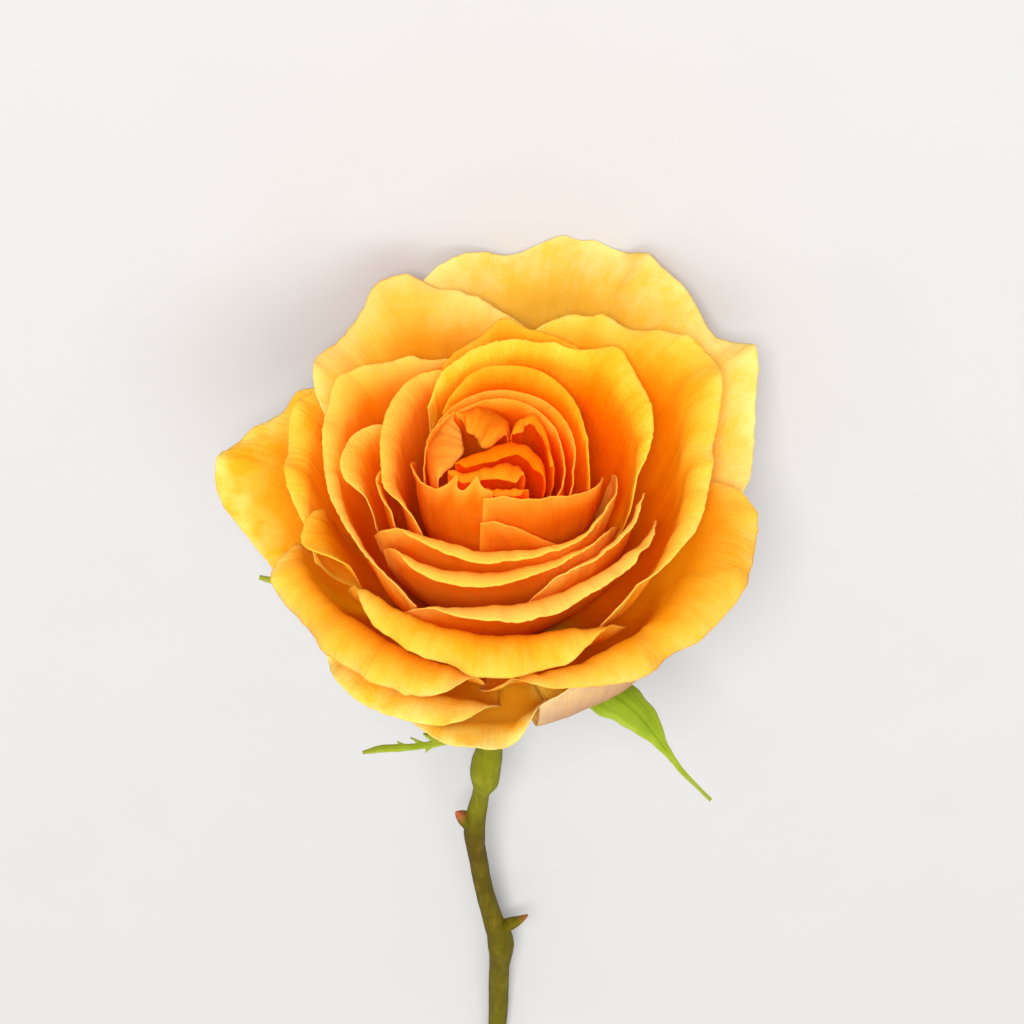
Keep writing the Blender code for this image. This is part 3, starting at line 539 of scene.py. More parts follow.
outerPetalRight = {
    "claw": 70, "ruffle": 0.75, "seed": 25, "tone": 0.28, "lipWidth": 15, "lip": 0.5,
    "crease": 0.4, "green": 0,
    "stations": [
        (303, 30.3, 22.5, 85, 1.5, 40), (320, 31.2, 24, 82, 3, 60), (337, 31.8, 26, 80, 5, 90),
        (351, 32, 27.5, 78, 5.5, 90), (2, 32, 29, 75, 6.5, 90), (12, 32.3, 29.5, 72, 8, 85),
        (20, 32.5, 30, 68, 10.5, 75), (28, 32.5, 30, 66, 12, 70), (36, 31, 30.7, 66, 10, 65),
        (46, 29, 31.3, 66, 8.5, 65), (58, 27.3, 31.8, 68, 7.5, 65), (70, 25, 32.3, 70, 6.5, 65),
        (80, 23.2, 32.5, 72, 4.5, 65), (89, 22, 32.3, 76, 2.5, 65)
    ],
}
cupPetal("outerPetalRight", outerPetalRight, "outer_petal_right", "outer_petals")

outerPetalLeftCup = {
    "claw": 68, "ruffle": 0.8, "seed": 26, "tone": 0.36, "lip": 0.3, "lipWidth": 7, "green": 0,
    "stations": [
        (186, 27.8, 24, 80, 2, 30), (196, 28.4, 24.3, 70, 5, 40), (205, 28.8, 24.4, 64, 7, 45),
        (212, 28.5, 24.4, 72, 4.5, 45), (218, 28, 24.6, 84, 1.5, 40)
    ],
}
cupPetal("outerPetalLeftCup", outerPetalLeftCup, "outer_petal_left_cup", "outer_petals")

outerPetalNear = {
    "claw": 72, "ruffle": 0.75, "seed": 27, "tone": 0.3, "crease": 0.36, "green": 0.1,
    "stations": [
        (214, 29.9, 23.6, 84, 1, 50), (221, 30, 25.2, 80, 3, 90), (230, 29.9, 26.3, 76, 5, 130),
        (244, 29.9, 26, 75, 7.3, 145), (258, 29.7, 25.5, 75, 9.5, 145), (272, 30.1, 25, 75, 10.5, 145),
        (286, 30.5, 24.5, 75, 9.5, 145), (298, 31.6, 23.9, 78, 6.3, 120), (308, 33, 23, 80, 3, 90),
        (315, 33.3, 22.5, 82, 1.5, 60)
    ],
}
cupPetal("outerPetalNear", outerPetalNear, "outer_petal_near", "outer_petals")

middlePetalLeft = {
    "claw": 63, "ruffle": 0.8, "seed": 31, "tone": 0.56, "green": 0, "ends": (0.04, 0.1),
    "stations": [
        (100, 21.6, 31.6, 84, 1, 40), (111, 21.2, 32.2, 80, 2, 50), (119, 21, 32.6, 80, 2.5, 60),
        (128, 21.5, 32.8, 78, 4, 65), (140, 22.4, 32.6, 75, 5.5, 65), (150, 24, 32, 72, 7, 65),
        (160, 24.9, 31, 72, 5.5, 70), (175, 25.2, 29.6, 75, 4, 75), (190, 25.2, 28.4, 78, 3, 80),
        (203, 25.2, 28, 80, 2, 80), (216, 25.2, 27.5, 82, 2, 80), (231, 25.8, 26.5, 85, 1.5, 70),
        (242, 26.2, 26.2, 88, 1, 60)
    ],
}
cupPetal("middlePetalLeft", middlePetalLeft, "middle_petal_left", "middle_petals")

middlePetalNear = {
    "claw": 67, "ruffle": 0.8, "seed": 32, "tone": 0.6, "share": 0.77, "lip": 0.5, "lipWidth": 9,
    "green": 0,
    "stations": [
        (235, 28.1, 25.3, 84, 1.5, 50), (246, 27.8, 26.1, 80, 3.3, 70), (258, 26.8, 26.9, 78, 5.3, 85),
        (272, 25.8, 27.2, 77, 6.5, 90), (286, 25.8, 27.2, 77, 6.5, 90), (298, 25.8, 27.5, 78, 5.8, 85),
        (312, 26.5, 27.7, 78, 5.3, 80), (328, 27.8, 27.8, 78, 4.5, 75), (340, 28.6, 28, 80, 3.5, 70),
        (350, 28.8, 28.2, 84, 1.5, 60)
    ],
}
cupPetal("middlePetalNear", middlePetalNear, "middle_petal_near", "middle_petals")

middlePetalNearRight = {
    "claw": 63, "ruffle": 0.8, "seed": 33, "tone": 0.54, "share": 0.77, "lipWidth": 9,
    "lip": 0.46, "green": 0,
    "stations": [
        (284, 22.9, 27.6, 86, 1, 50), (300, 23.4, 28.2, 84, 1.5, 60), (318, 24.1, 28.6, 84, 2, 65),
        (336, 25, 29.1, 84, 2, 65), (350, 25.7, 29.4, 84, 1.5, 60), (359, 26, 29.5, 86, 1, 50)
    ],
}
cupPetal("middlePetalNearRight", middlePetalNearRight, "middle_petal_near_right", "middle_petals")

middlePetalBack = {
    "claw": 60, "ruffle": 0.8, "seed": 34, "tone": 0.24, "lip": 0.3, "green": 0, "ends": (0.05, 0.05),
    "stations": [
        (44, 25.8, 32.5, 80, 2, 50), (55, 24.8, 33, 78, 2.5, 60), (68, 23, 33.5, 76, 3.5, 65),
        (78, 21.7, 33.8, 74, 4.5, 60), (85, 21, 34, 72, 6, 60), (93, 20.2, 33.8, 74, 4.5, 65),
        (106, 19.2, 33.6, 78, 3.5, 65), (119, 18.8, 33.2, 80, 2, 60)
    ],
}
cupPetal("middlePetalBack", middlePetalBack, "middle_petal_back", "middle_petals")

# Its low tone is partly painted shade: the inner wall beside the heart is painted deeper red-orange
# where the recess lies in shade
middlePetalBackRight = {
    "claw": 50, "ruffle": 0.8, "seed": 35, "tone": 0.1, "foot": 0.34, "share": 0.66, "lipWidth": 16,
    "lip": 0.52, "green": 0, "ends": (0.1, 0.04),
    "stations": [
        (343, 23.8, 28.5, 85, 1, 50), (352, 24, 30, 83, 2.5, 70), (1, 24.1, 31, 80, 4, 80),
        (12, 24.3, 31.6, 78, 5, 80), (26, 24.2, 32.4, 75, 6, 75), (36, 24, 33, 72, 7, 70),
        (43, 23.8, 33.3, 70, 7.5, 65), (54, 22.3, 34, 76, 3.5, 65), (66, 20.6, 34.5, 78, 4, 65),
        (80, 18.8, 34.8, 78, 4, 65), (94, 17.3, 34.8, 78, 4, 65), (108, 16.1, 34.7, 80, 3.5, 65),
        (122, 15.2, 34.4, 82, 3, 60), (137, 14.4, 34, 84, 1.5, 50)
    ],
}
cupPetal("middlePetalBackRight", middlePetalBackRight, "middle_petal_back_right", "middle_petals")

middlePetalLeftTip = {
    "claw": 57.6, "ruffle": 0.8, "seed": 36, "tone": 0.5, "green": 0,
    "stations": [
        (152, 19, 31.6, 82, 1.5, 50), (160, 19.6, 31.7, 78, 2.5, 60), (168, 20.3, 31.3, 74, 4, 60),
        (178, 21, 30.8, 70, 4.5, 65), (187, 21.4, 30.4, 70, 4.5, 70),
        (194, 21.6, 29.9, 74, 3.5, 70), (200, 21.6, 29.4, 82, 1.5, 60)
    ],
}
cupPetal("middlePetalLeftTip", middlePetalLeftTip, "middle_petal_left_tip", "middle_petals")

innerPetalNearOuter = {
    "claw": 60, "ruffle": 0.7, "seed": 41, "tone": 0.68, "share": 0.77, "lipWidth": 8,
    "lip": 0.56, "green": 0,
    "stations": [
        (212, 22.1, 28.4, 84, 1, 50), (222, 22.1, 28.7, 80, 2.5, 70), (236, 21.5, 28.7, 77, 4.3, 85),
        (250, 20.7, 28.5, 76, 5, 90), (266, 20.1, 28.4, 76, 5.5, 90), (284, 20, 28.7, 77, 4.8, 90),
        (298, 20.6, 29, 80, 3, 85), (314, 21.7, 29.1, 82, 2, 75), (330, 22.5, 29.2, 84, 1.5, 60),
        (342, 22.7, 29.3, 86, 1, 50)
    ],
}
cupPetal("innerPetalNearOuter", innerPetalNearOuter, "inner_petal_near_outer", "inner_petals")

innerPetalNear = {
    "claw": 52, "ruffle": 0.7, "seed": 42, "tone": 0.66, "foot": 0.34, "share": 0.78, "lipWidth": 8,
    "lip": 0.56, "green": 0,
    "stations": [
        (203, 21.9, 28.5, 86, 1, 40), (210, 21.3, 29.7, 82, 2.5, 70),
        (220, 19.6, 30.3, 80, 3.8, 80), (235, 17.7, 30.4, 78, 4, 85),
        (250, 16.9, 30.2, 77, 4.8, 85), (265, 16.8, 30.1, 77, 5, 85), (282, 17.4, 30.1, 77, 4.3, 85),
        (296, 18.5, 30.1, 80, 3.3, 80), (312, 19.6, 30.2, 82, 2, 75), (330, 20.7, 30.4, 84, 1.5, 70),
        (350, 21.2, 30.7, 86, 1.2, 60), (367, 20.6, 31.4, 88, 1, 50)
    ],
}
cupPetal("innerPetalNear", innerPetalNear, "inner_petal_near", "inner_petals")

innerPetalLeftSlip = {
    "claw": 52.8, "ruffle": 0.6, "seed": 43, "tone": 0.46, "foot": 0.34, "green": 0,
    "stations": [
        (176, 18.5, 30.2, 86, 1, 40), (190, 18.6, 30.2, 84, 1.2, 50),
        (202, 18.7, 29.8, 85, 1.2, 50), (213, 18.6, 29.4, 86, 1, 40)
    ],
}
cupPetal("innerPetalLeftSlip", innerPetalLeftSlip, "inner_petal_left_slip", "inner_petals")

innerPetalLeft = {
    "claw": 50, "ruffle": 0.7, "seed": 44, "tone": 0.7, "green": 0, "ends": (0.04, 0.12),
    "stations": [
        (98, 18.2, 32.4, 84, 1, 40), (108, 17.7, 33, 82, 1.5, 50), (117, 17.2, 33.4, 80, 2.5, 50),
        (128, 17, 33.4, 78, 3.5, 60), (143, 16.2, 33, 75, 4.5, 65), (162, 15.8, 32.2, 75, 4.5, 65),
        (180, 15.6, 31.4, 75, 4, 65), (200, 16.2, 30.8, 78, 3.5, 65), (216, 16.4, 30.5, 82, 2.3, 60),
        (228, 16.4, 30.1, 86, 1, 50)
    ],
}
cupPetal("innerPetalLeft", innerPetalLeft, "inner_petal_left", "inner_petals")

innerPetalBack = {
    "claw": 41, "ruffle": 0.6, "seed": 45, "tone": 0.2, "lip": 0.28, "green": 0, "ends": (0.1, 0.04),
    "stations": [
        (342, 16.6, 30, 88, 1, 40), (356, 16.3, 31.5, 86, 1.5, 50), (15, 15.8, 33, 84, 1.5, 55),
        (41, 15.6, 33.7, 82, 2.5, 60), (60, 15, 34, 80, 3.5, 60), (80, 14.2, 34.2, 80, 3.5, 60),
        (96, 13.6, 34.2, 80, 3.5, 60), (114, 12.8, 34, 82, 2.5, 60), (132, 12.3, 33.6, 84, 1.5, 50)
    ],
}
cupPetal("innerPetalBack", innerPetalBack, "inner_petal_back", "inner_petals")

budPetalRight = {
    "claw": 41, "ruffle": 0.4, "seed": 51, "tone": 0.52, "streak": 0.15, "lip": 0.2, "green": 0,
    "ends": (0.02, 0.1), "bulge": 0.5,
    "stations": [
        (263, 10.6, 35.8, 100, 1, 20), (285, 10.9, 35.8, 98, 1, 20), (304, 12.3, 34.8, 96, 1, 20),
        (326, 15, 33.2, 92, 1, 30), (344, 18, 31.6, 88, 1, 40), (358, 18.6, 31, 88, 1, 40)
    ],
}
cupPetal("budPetalRight", budPetalRight, "bud_petal_right", "heart_petals")

budPetalLowRight = {
    "claw": 46, "ruffle": 0.3, "seed": 52, "tone": 0.5, "streak": 0.15, "lip": 0.2, "green": 0,
    "ends": (0.02, 0.1), "bulge": 0.5,
    "stations": [
        (262, 12.4, 31.6, 98, 1, 10), (280, 12.9, 31, 97, 1, 10), (296, 14.2, 28.6, 95, 1, 10),
        (310, 16, 25.4, 92, 1, 10), (322, 17.2, 23, 88, 1, 10)
    ],
}
cupPetal("budPetalLowRight", budPetalLowRight, "bud_petal_low_right", "heart_petals")

budPetalLeft = {
    "claw": 32, "ruffle": 0.4, "seed": 53, "tone": 0.52, "streak": 0.15, "lip": 0.2, "green": 0,
    "ends": (0.1, 0.02), "bulge": 0.5,
    "stations": [
        (168, 12.7, 30, 88, 1, 40), (186, 12.8, 31.2, 88, 2, 40), (205, 12.4, 32.2, 90, 1.5, 30),
        (221, 11.4, 34.0, 95, 1.0, 0), (228, 11.0, 34.6, 97, 2.2, -25), (233, 10.8, 35.0, 98, 3.8, -45),
        (238, 10.5, 35.2, 99, 1.6, -10), (243, 10.2, 35.4, 100, 1.0, 0), (249, 10, 35.7, 101, 2.2, -25),
        (254, 9.8, 35.9, 102, 3.6, -45), (259, 9.7, 36, 102, 2.2, -25), (266, 9.6, 36.1, 102, 1.2, 0),
        (272, 9.5, 36.2, 102, 1, 10)
    ],
}
cupPetal("budPetalLeft", budPetalLeft, "bud_petal_left", "heart_petals")

budPetalBackOuter = {
    "claw": 35, "ruffle": 0.5, "seed": 54, "tone": 0.26, "streak": 0.2, "green": 0,
    "ends": (0.08, 0.08),
    "stations": [
        (324, 13.6, 29.5, 92, 1, 30), (338, 14.1, 30.5, 90, 1, 40), (355, 13.8, 31.5, 88, 1, 50),
        (15, 13.3, 32.5, 86, 1.5, 50), (40, 12.8, 33.2, 86, 2, 50), (65, 12.2, 33.4, 86, 2, 50),
        (90, 11.7, 33.3, 88, 2, 50), (112, 11.3, 33, 88, 2, 50), (132, 11.4, 32.6, 88, 2, 50),
        (150, 12, 32, 90, 1, 40)
    ],
}
cupPetal("budPetalBackOuter", budPetalBackOuter, "bud_petal_back_outer", "heart_petals")

budPetalBack = {
    "claw": 29, "ruffle": 0.5, "seed": 55, "tone": 0.26, "streak": 0.2, "green": 0,
    "ends": (0.08, 0.08),
    "stations": [
        (314, 11.5, 30.5, 94, 1, 30), (328, 12.1, 31, 93, 1, 30), (345, 12.3, 31.5, 92, 1, 40),
        (5, 11.8, 32.3, 90, 1, 40), (30, 11, 33, 88, 1.5, 50), (60, 10.3, 33.3, 88, 2, 50),
        (90, 9.9, 33.2, 88, 2, 50), (115, 9.8, 33, 90, 1.5, 50), (140, 10.2, 32.8, 90, 1.5, 50),
        (165, 10.9, 32.3, 90, 1.5, 50), (185, 11.2, 31.6, 90, 1, 40), (200, 11.3, 30.8, 90, 1, 30)
    ],
}
cupPetal("budPetalBack", budPetalBack, "bud_petal_back", "heart_petals")

heartPetalLeft = {
    "claw": (-1.5, 0.6), "rimHeight": 35.4, "lift": 2.3, "crumple": 0.14, "seed": 61, "tone": 0.7,
    "inward": 0.25, "lip": 0.2,
    "wall": [
        (-6.5, 6.9), (-8.2, 5.2), (-9.8, 2.6), (-10.4, -0.8), (-9.9, -4), (-8.6, -6)
    ],
    "rim": [
        (-5.3, 4.6), (-5, 3.2), (-4.7, 1.4), (-4.7, -0.9), (-5.9, -2.7), (-7, -4.6)
    ],
}
heartPetal("heartPetalLeft", heartPetalLeft, "heart_petal_left", "heart_petals")

heartPetalTop = {
    "claw": (0.0, 1.6), "rimHeight": 35.6, "lift": 3.8, "crumple": 0.24, "seed": 62, "tone": 0.44,
    "inward": 0.35, "lip": 0.1,
    "wall": [
        (-6, 7.3), (-4, 8.2), (-1.8, 8.7), (0.6, 8.3), (2.4, 7), (3, 4.8), (2.7, 3)
    ],
    "rim": [
        (-4.9, 4.6), (-3.9, 3.3), (-2.9, 2.8), (-2.3, 2), (-1.9, 0.7), (-0.6, 0.2), (1.5, 1.5)
    ],
}
heartPetal("heartPetalTop", heartPetalTop, "heart_petal_top", "heart_petals")

heartPetalCentre = {
    "claw": (0.7, 0.2), "rimHeight": 36.4, "lift": 1.7, "crumple": 0.24, "seed": 63, "tone": 0.0,
    "lip": 0.14,
    "wall": [
        (-5.9, -3.3), (-4.3, -1.9), (-1.5, -1), (0.8, 0.3), (3.1, 1.4), (5.2, 0.9), (7, -0.9),
        (8.5, -3.4), (8.8, -6.2)
    ],
    "rim": [
        (-5.6, -4.8), (-4, -4.5), (-1.5, -3.5), (0.6, -3.1), (2.7, -2.2), (4.4, -1.8), (5.8, -2.8),
        (6.9, -4.6), (7.7, -6.6)
    ],
}
heartPetal("heartPetalCentre", heartPetalCentre, "heart_petal_centre", "heart_petals")

heartPetalRight = {
    "claw": (1.8, 1.4), "rimHeight": 35.8, "lift": 1.9, "crumple": 0.2, "seed": 64, "tone": 0.2,
    "lip": 0.2,
    "wall": [
        (3.3, 2.9), (3.8, 4.9), (5, 6.5), (6.4, 7), (7.8, 6), (9.1, 3.4), (9.8, 0.2), (10.1, -3.8)
    ],
    "rim": [
        (4.9, 2.2), (5.3, 3.4), (5.8, 4.5), (6.5, 5), (7.2, 4.4), (8.2, 2.4), (9.1, -0.4), (9.6, -4)
    ],
}
heartPetal("heartPetalRight", heartPetalRight, "heart_petal_right", "heart_petals")

heartPetalNearLeft = {
    "claw": (-0.4, -0.8), "rimHeight": 35.6, "lift": 1.5, "crumple": 0.24, "seed": 65, "tone": 0.26,
    "lip": 0.2,
    "wall": [
        (-7.1, -4.4), (-4.6, -4.5), (-1.8, -3.7), (0.4, -3), (2.6, -2.3), (4.4, -2.8), (5.4, -4.8)
    ],
    "rim": [
        (-6.2, -6.6), (-4, -6.9), (-1.6, -6.4), (0.6, -6.1), (2.7, -6.5), (3.9, -6.8), (4.9, -6.8)
    ],
}
heartPetal("heartPetalNearLeft", heartPetalNearLeft, "heart_petal_near_left", "heart_petals")

heartPetalNear = {
    "claw": (0.8, -1.7), "rimHeight": 34.4, "lift": 1.3, "crumple": 0.24, "seed": 66, "tone": 0.26,
    "lip": 0.2,
    "wall": [
        (-3, -7.4), (-0.6, -7.1), (1.8, -7), (4.2, -7.4), (6.2, -7.3)
    ],
    "rim": [
        (-2.8, -8.4), (-0.6, -8.6), (1.8, -8.7), (4, -8.6), (5.8, -8.3)
    ],
}
heartPetal("heartPetalNear", heartPetalNear, "heart_petal_near", "heart_petals")

print("petals made")


# ---- sepals
def sepalMaterial(name):
    shader = Shader(name)
    rise, rim, back = (shader.attribute(key) for key in ("rise", "rim", "back"))
    blotch = shader.noise(210, 3)
    fibre = shader.noise(1.0, 3, 0.6, shader.place((14, 3, 1), "UV"))
    tone = (0.35 + 0.5 * (blotch - 0.5) + 0.5 * (fibre - 0.5) + 0.25 * (1 - (rim / 1.4).clipped())
            + 0.2 * (1 - back))
    colour = shader.node("ShaderNodeValToRGB", {"stops": [
        (0.0, (0.10, 0.17, 0.004)), (0.5, (0.21, 0.29, 0.010)), (1.0, (0.44, 0.48, 0.09))]},
        [tone.clipped()])
    colour = shader.mix(((rise - 0.8) * 3.0).clipped() * 0.5, colour, (0.25, 0.17, 0.04))
    shader.set(baseColor=colour, roughness=0.5 + 0.2 * blotch, specular=0.12,
               normal=shader.bump(fibre + 0.4 * blotch, 0.35, 0.0004))
    return shader.material


def sepal(name, look, node):
    rib = np.array(look["rib"], float)
    ends = np.linspace(0, 1, len(rib))
    rows = np.linspace(0, 1, fine["sepalRows"])
    spine = np.array([smoothAlong(ends, rib, x) for x in rows])
    half = np.maximum([float(smoothAlong(ends, look["width"], x)) for x in rows], 0.12)
    ahead = np.gradient(spine, axis=0)
    side = np.cross(ahead, [0, 0, 1])
    side /= np.linalg.norm(side, axis=1)[:, None]
    a = np.linspace(-1, 1, fine["sepalColumns"])
    wave = 1 + 0.12 * np.stack([wander(rows * 34, look["seed"] + k, (11, 5, 2.6)) for k in (0, 1)])
    reach = np.where(a[None] < 0, wave[0][:, None], wave[1][:, None]) * a[None] * half[:, None]
    sweep = np.zeros_like(reach)
    for place, lobe in look.get("lobes", []):  # thin lobes on one edge: how far along, and how far out
        outer = np.clip(a[None] * np.sign(lobe), 0, 1) ** 3
        spike = np.exp(-np.abs((rows - place) / 0.008) ** 1.5)[:, None] * outer
        reach += spike * lobe
        sweep += spike * abs(lobe)
    forward = ahead / np.linalg.norm(ahead, axis=1)[:, None]
    grid = spine[:, None] + side[:, None] * reach[..., None] + forward[:, None] * sweep[..., None]
    grid[..., 2] += -0.25 * a[None] ** 2 * half[:, None] - 0.35 * np.exp(-(a[None] / 0.12) ** 2) * (
        1 - rows[:, None])
    grid[..., 2] += 0.1 * np.abs(a[None]) * half[:, None] * wander(rows * 30, look["seed"] + 5)[:, None]
    rise = np.repeat(rows[:, None], len(a), axis=1)
    rim = (1 - np.abs(a[None])) * half[:, None]
    piece = addSheet(overTable(grid), fine["sepalThickness"], {"rise": rise, "rim": rim})
    keepPiece(piece, name, sepalMaterial(name + "Skin"), node)


sepalLeft = {
    "seed": 71, "width": [2.0, 3.4, 2.6, 1.2, 0.35],
    "rib": [(-7.2, -0.2, -6.2), (-14, -0.5, -7.6), (-24, -0.3, -7.4), (-33, 0.4, -6.0),
            (-40.5, 1.6, -4.6)],
}
sepal("sepalLeft", sepalLeft, "sepal_left")

sepalNearLeft = {
    "seed": 72, "width": [2.0, 3.2, 2.0, 0.75, 0.55, 0.65, 0.25],
    "lobes": [(0.47, 2.6), (0.52, 3.0), (0.58, 2.2), (0.62, -0.8), (0.66, 1.6), (0.75, 0.7)],
    "rib": [(-0.9, -7.2, -6.2), (-1.6, -14, -8.2), (-3.2, -21.5, -9.6), (-7.1, -27.8, -10.0),
            (-12.2, -29.3, -10.2), (-18.2, -30, -9.8), (-21.9, -31, -9.6)],
}
sepal("sepalNearLeft", sepalNearLeft, "sepal_near_left")

sepalNearRight = {
    "seed": 73, "width": [2.2, 3.6, 4.4, 3.3, 0.9, 0.4, 0.25],
    "rib": [(4.4, -5.7, -6.2), (10.5, -11, -9.0), (17.5, -15.5, -10.4), (24.5, -21.2, -11.6),
            (29.6, -27, -14.6), (33, -30.2, -17.8), (37.6, -33.6, -21)],
}
sepal("sepalNearRight", sepalNearRight, "sepal_near_right")

sepalBackRight = {
    "seed": 74, "width": [2.0, 3.4, 2.6, 1.2, 0.35],
    "rib": [(5.4, 4.8, -6.2), (11, 9.4, -7.8), (18.5, 15.4, -8.2), (25, 20, -7.4), (30.5, 23.5, -5.6)],
}
sepal("sepalBackRight", sepalBackRight, "sepal_back_right")

sepalBackLeft = {
    "seed": 75, "width": [2.0, 3.4, 2.6, 1.2, 0.35],
    "rib": [(-3.0, 6.6, -6.2), (-6.6, 13.5, -7.8), (-11.5, 22, -8.2), (-15.6, 29.4, -7.2),
            (-18.6, 35.5, -5.4)],
}
sepal("sepalBackLeft", sepalBackLeft, "sepal_back_left")
print("sepals made")


# ---- stem, with the hip at its top, a bud and a bract on its side
stem = {
    "sides": 28, "stubSides": 18, "stubSteps": 22, "hipStep": 0.6, "hipEnd": 20, "step": 1.25,
    "uneven": 0.02, "smoothUnder": 0.9, "redAround": {"bud": 2.6, "bract": 2.4}, "bractRed": 0.6,
    "rings": [  # distance below the top of the hip, shift to the right, rise off the axis, radius
        (-0.6, 0, 0, 1.8), (0.1, 0, 0, 3.7), (1.3, 0, 0, 5.5), (2.6, 0, 0, 6.6), (4.5, 0, 0, 7.2),
        (7.0, 0, 0, 6.8), (9.5, 0, 0, 5.6), (12.5, 0, 0, 4.2), (17, -0.1, 0, 3.2), (30, -0.2, 0, 2.5),
        (45, -0.3, 0, 2.2), (55, -0.4, 0, 2.1), (58.5, -0.6, 0, 2.3), (61.5, -1.0, 0, 2.7),
        (65, -1.4, 0, 2.9), (69, -1.6, 0, 2.75), (71.5, -1.6, 0, 2.5), (73.2, -1.9, 0, 2.0),
        (74.8, -2.3, 0, 1.7), (77, -2.6, 0, 1.7), (81, -3.1, 0, 1.85), (86, -3.6, 0, 2.0),
        (90, -3.8, 0.1, 2.1), (94, -3.7, 0.1, 1.9), (101, -3.1, 0.1, 1.85), (109.5, -2.4, 0.2, 1.8),
        (117.5, -1.4, 0.4, 1.9), (121.5, -0.8, 0.4, 1.95), (126, -0.1, 0.5, 2.2), (130, 0.8, 0.6, 2.5),
        (136, 1.2, 0.7, 2.6), (139.5, 1.1, 0.8, 2.3), (143, 0.9, 0.9, 2.1), (151.5, 0.7, 1.1, 2.1),
        (160.5, 0.6, 1.4, 2.0), (171, 0.3, 1.75, 1.9), (175, 0.2, 1.9, 1.9)],
    "bud": [(-3.9, 0.1, -88.5, 1.7), (-4.9, 0.2, -86.2, 1.9), (-6.0, 0.2, -84.6, 1.35),
            (-7.1, 0.2, -83.2, 0.35)],
    "bract": [(1.0, -0.6, -128, 1.6), (3.2, -0.7, -125.8, 1.45), (5.0, -0.8, -124.0, 0.9),
              (6.4, -0.8, -122.3, 0.3)],
}


def stemMaterial():
    shader = Shader("stemSkin")
    down, tip = shader.attribute("down"), shader.attribute("tip")
    blotch = shader.noise(240, 4)
    fibre = shader.noise(1.0, 3, 0.6, shader.place((900, 60, 900)))
    age = ((down - 0.41) * 9.0).clipped() * (1.45 - 0.85 * down)
    tone = (0.5 + 0.7 * (blotch - 0.5) + 0.6 * (fibre - 0.5)).clipped()
    green = shader.node("ShaderNodeValToRGB", {"stops": [
        (0.0, (0.10, 0.105, 0.003)), (0.5, (0.18, 0.18, 0.006)), (1.0, (0.34, 0.33, 0.03))]}, [tone])
    brown = shader.node("ShaderNodeValToRGB", {"stops": [
        (0.0, (0.035, 0.02, 0.001)), (0.5, (0.085, 0.056, 0.002)), (1.0, (0.19, 0.135, 0.01))]}, [tone])
    colour = shader.mix(age, green, brown)
    colour = shader.mix(tip, colour, (0.36, 0.075, 0.035))
    shader.set(baseColor=colour, roughness=0.55 + 0.2 * blotch, specular=0.06,
               normal=shader.bump(fibre + 0.5 * blotch, 0.4, 0.0004))
    return shader.material


def ringTube(rings, sides):  # a closed tube drawn ring by ring: (x, y, z, radius), extruded in edit mode
    x, y, z, radius = rings[0]
    deselectAll()
    bpy.ops.mesh.primitive_circle_add(vertices=sides, radius=radius * mm, fill_type="NGON",
                                      location=(x * mm, y * mm, z * mm))
    tube = bpy.context.active_object
    bpy.ops.object.mode_set(mode="EDIT")
    bpy.ops.mesh.select_all(action="SELECT")
    for (x0, y0, z0, r0), (x1, y1, z1, r1) in zip(rings, rings[1:]):
        shift = ((x1 - x0) * mm, (y1 - y0) * mm, (z1 - z0) * mm)
        bpy.ops.mesh.extrude_region_move(TRANSFORM_OT_translate={"value": shift})
        bpy.ops.transform.resize(value=(r1 / r0,) * 3, center_override=(x1 * mm, y1 * mm, z1 * mm))
    bpy.ops.mesh.select_all(action="SELECT")
    bpy.ops.mesh.normals_make_consistent(inside=False)
    bpy.ops.object.mode_set(mode="OBJECT")
    bpy.ops.object.transform_apply(location=True, rotation=True, scale=True)
    return tube


def makeStem():
    table = np.array(stem["rings"])
    end = table[-1, 0]
    rings = []
    hipRings = np.arange(table[0, 0], stem["hipEnd"], stem["hipStep"])
    for s in np.concatenate([hipRings, np.arange(stem["hipEnd"], end - 0.5, stem["step"]), [end]]):
        x, lift, r = smoothAlong(table[:, 0], table[:, 1:], s)
        rings.append((x, -lift, -s, r * (1 + stem["uneven"] * float(wander(s, 82, (13, 6, 3))))))
    body = ringTube(rings, stem["sides"])
    for key in ("bud", "bract"):
        points = np.array(stem[key])
        ends = np.linspace(0, 1, len(points))
        along = np.linspace(0, 1, stem["stubSteps"])
        stub = ringTube([tuple(smoothAlong(ends, points, t)) for t in along], stem["stubSides"])
        useOnly(body)
        join = body.modifiers.new(key, "BOOLEAN")
        join.operation, join.solver, join.object = "UNION", "EXACT", stub
        bpy.ops.object.modifier_apply(modifier=key)
        bpy.data.objects.remove(stub)
    points = np.zeros(len(body.data.vertices) * 3)
    body.data.vertices.foreach_get("co", points)
    points = points.reshape(-1, 3) / mm
    budTip, bractTip = (
        np.clip(1 - np.linalg.norm(points - np.array(stem[key][-1][:3]), axis=1) / around, 0, 1)
        for key, around in stem["redAround"].items())
    red = np.maximum(budTip, stem["bractRed"] * bractTip)
    for key, mark in (("down", -points[:, 2] / end), ("tip", red)):
        layer = body.data.attributes.new(key, "FLOAT", "POINT")
        layer.data.foreach_set("value", mark.astype(np.float32))
    body.data.vertices.foreach_set("co", (overTable(points) * mm).reshape(-1).astype(np.float32))
    body.data.update()
    useOnly(body)
    bpy.ops.object.shade_smooth_by_angle(angle=stem["smoothUnder"])
    keepPiece(body, "stemAndHip", stemMaterial(), "stem")


makeStem()
print("stem made")

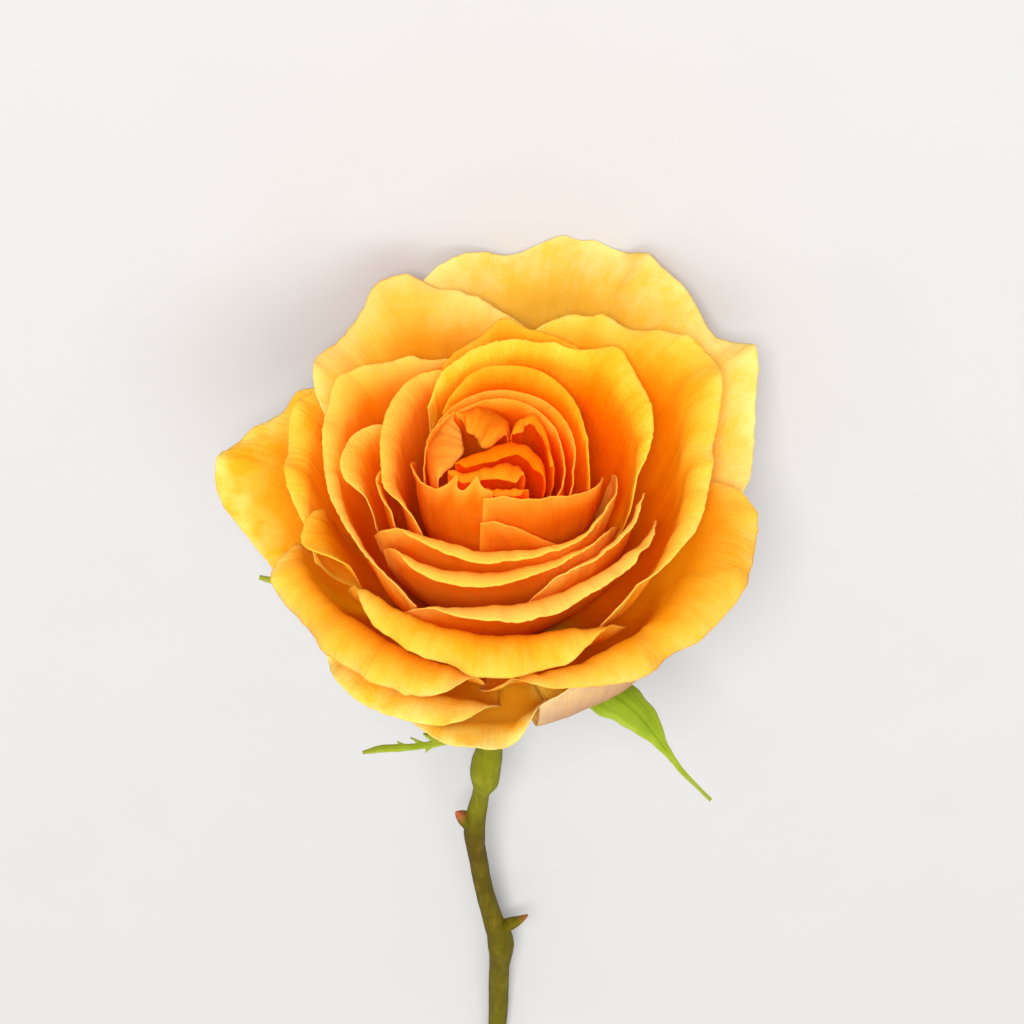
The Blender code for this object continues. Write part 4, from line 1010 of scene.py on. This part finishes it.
# ---- floor, light and camera
studio = {
    "floorSize": 6, "floorTone": (0.478, 0.472, 0.465),
    "worldTone": (1.0, 0.99, 0.975), "worldStrength": 0.66,
    "key": {"power": 100, "size": 0.9, "away": 3.0, "lift": -0.02, "shift": -0.07},
    "fill": {"power": 44, "size": 2.6, "away": 3.2, "lift": -0.75, "shift": 0.2},
}
view = {"elevation": 55.0, "away": 620.0, "right": 3.45, "up": 10.01, "lens": 126.3, "sensor": 36.0}


def viewFrame():  # the camera's right, up and towards-the-viewer directions over the table
    right, far, out = lyingFrame()
    steep = np.radians(view["elevation"])
    return right, np.sin(steep) * far + np.cos(steep) * out, -np.cos(steep) * far + np.sin(steep) * out


def aimed(piece, place, right, up, back):
    turn = np.eye(4)
    turn[:3, 0], turn[:3, 1], turn[:3, 2], turn[:3, 3] = right, up, back, place
    piece.matrix_world = Matrix(turn.tolist())


def makeStudio():
    deselectAll()
    bpy.ops.mesh.primitive_plane_add(size=studio["floorSize"], location=(0, 0, 0))
    floor = bpy.context.active_object
    floor.name = "floor"
    shader = Shader("floorPaint")
    grain = shader.noise(35, 3)
    shader.set(baseColor=shader.mix(0.03 * grain, studio["floorTone"], (1, 1, 1)),
               roughness=0.8 + 0.1 * grain, specular=0.1)
    floor.data.materials.append(shader.material)

    world = bpy.data.worlds.new("studio")
    world.use_nodes = True
    world.node_tree.nodes["Background"].inputs["Color"].default_value = (*studio["worldTone"], 1)
    world.node_tree.nodes["Background"].inputs["Strength"].default_value = studio["worldStrength"]
    bpy.context.scene.world = world

    right, up, back = viewFrame()
    centre = np.array([lying["x"], lying["y"], lying["height"]]) * mm
    for key in ("key", "fill"):
        light = studio[key]
        toward = back + light["lift"] * up + light["shift"] * right
        toward /= np.linalg.norm(toward)
        side = np.cross(up, toward)
        side /= np.linalg.norm(side)
        lamp = bpy.data.lights.new(key + "Light", "AREA")
        lamp.energy, lamp.size, lamp.shape = light["power"], light["size"], "DISK"
        holder = bpy.data.objects.new(key + "Light", lamp)
        bpy.context.scene.collection.objects.link(holder)
        aimed(holder, centre + toward * light["away"], side, np.cross(toward, side), toward)

    lens = bpy.data.cameras.new("camera")
    camera = bpy.data.objects.new("camera", lens)
    bpy.context.scene.collection.objects.link(camera)
    shift = right * view["right"] + up * view["up"] + back * view["away"]
    aimed(camera, centre + shift * mm, right, up, back)
    lens.sensor_width, lens.lens = view["sensor"], view["lens"]
    lens.clip_start, lens.clip_end = 0.01, 20
    bpy.context.scene.camera = camera
    bpy.context.scene.view_settings.view_transform = "Standard"


makeStudio()
print("studio made")
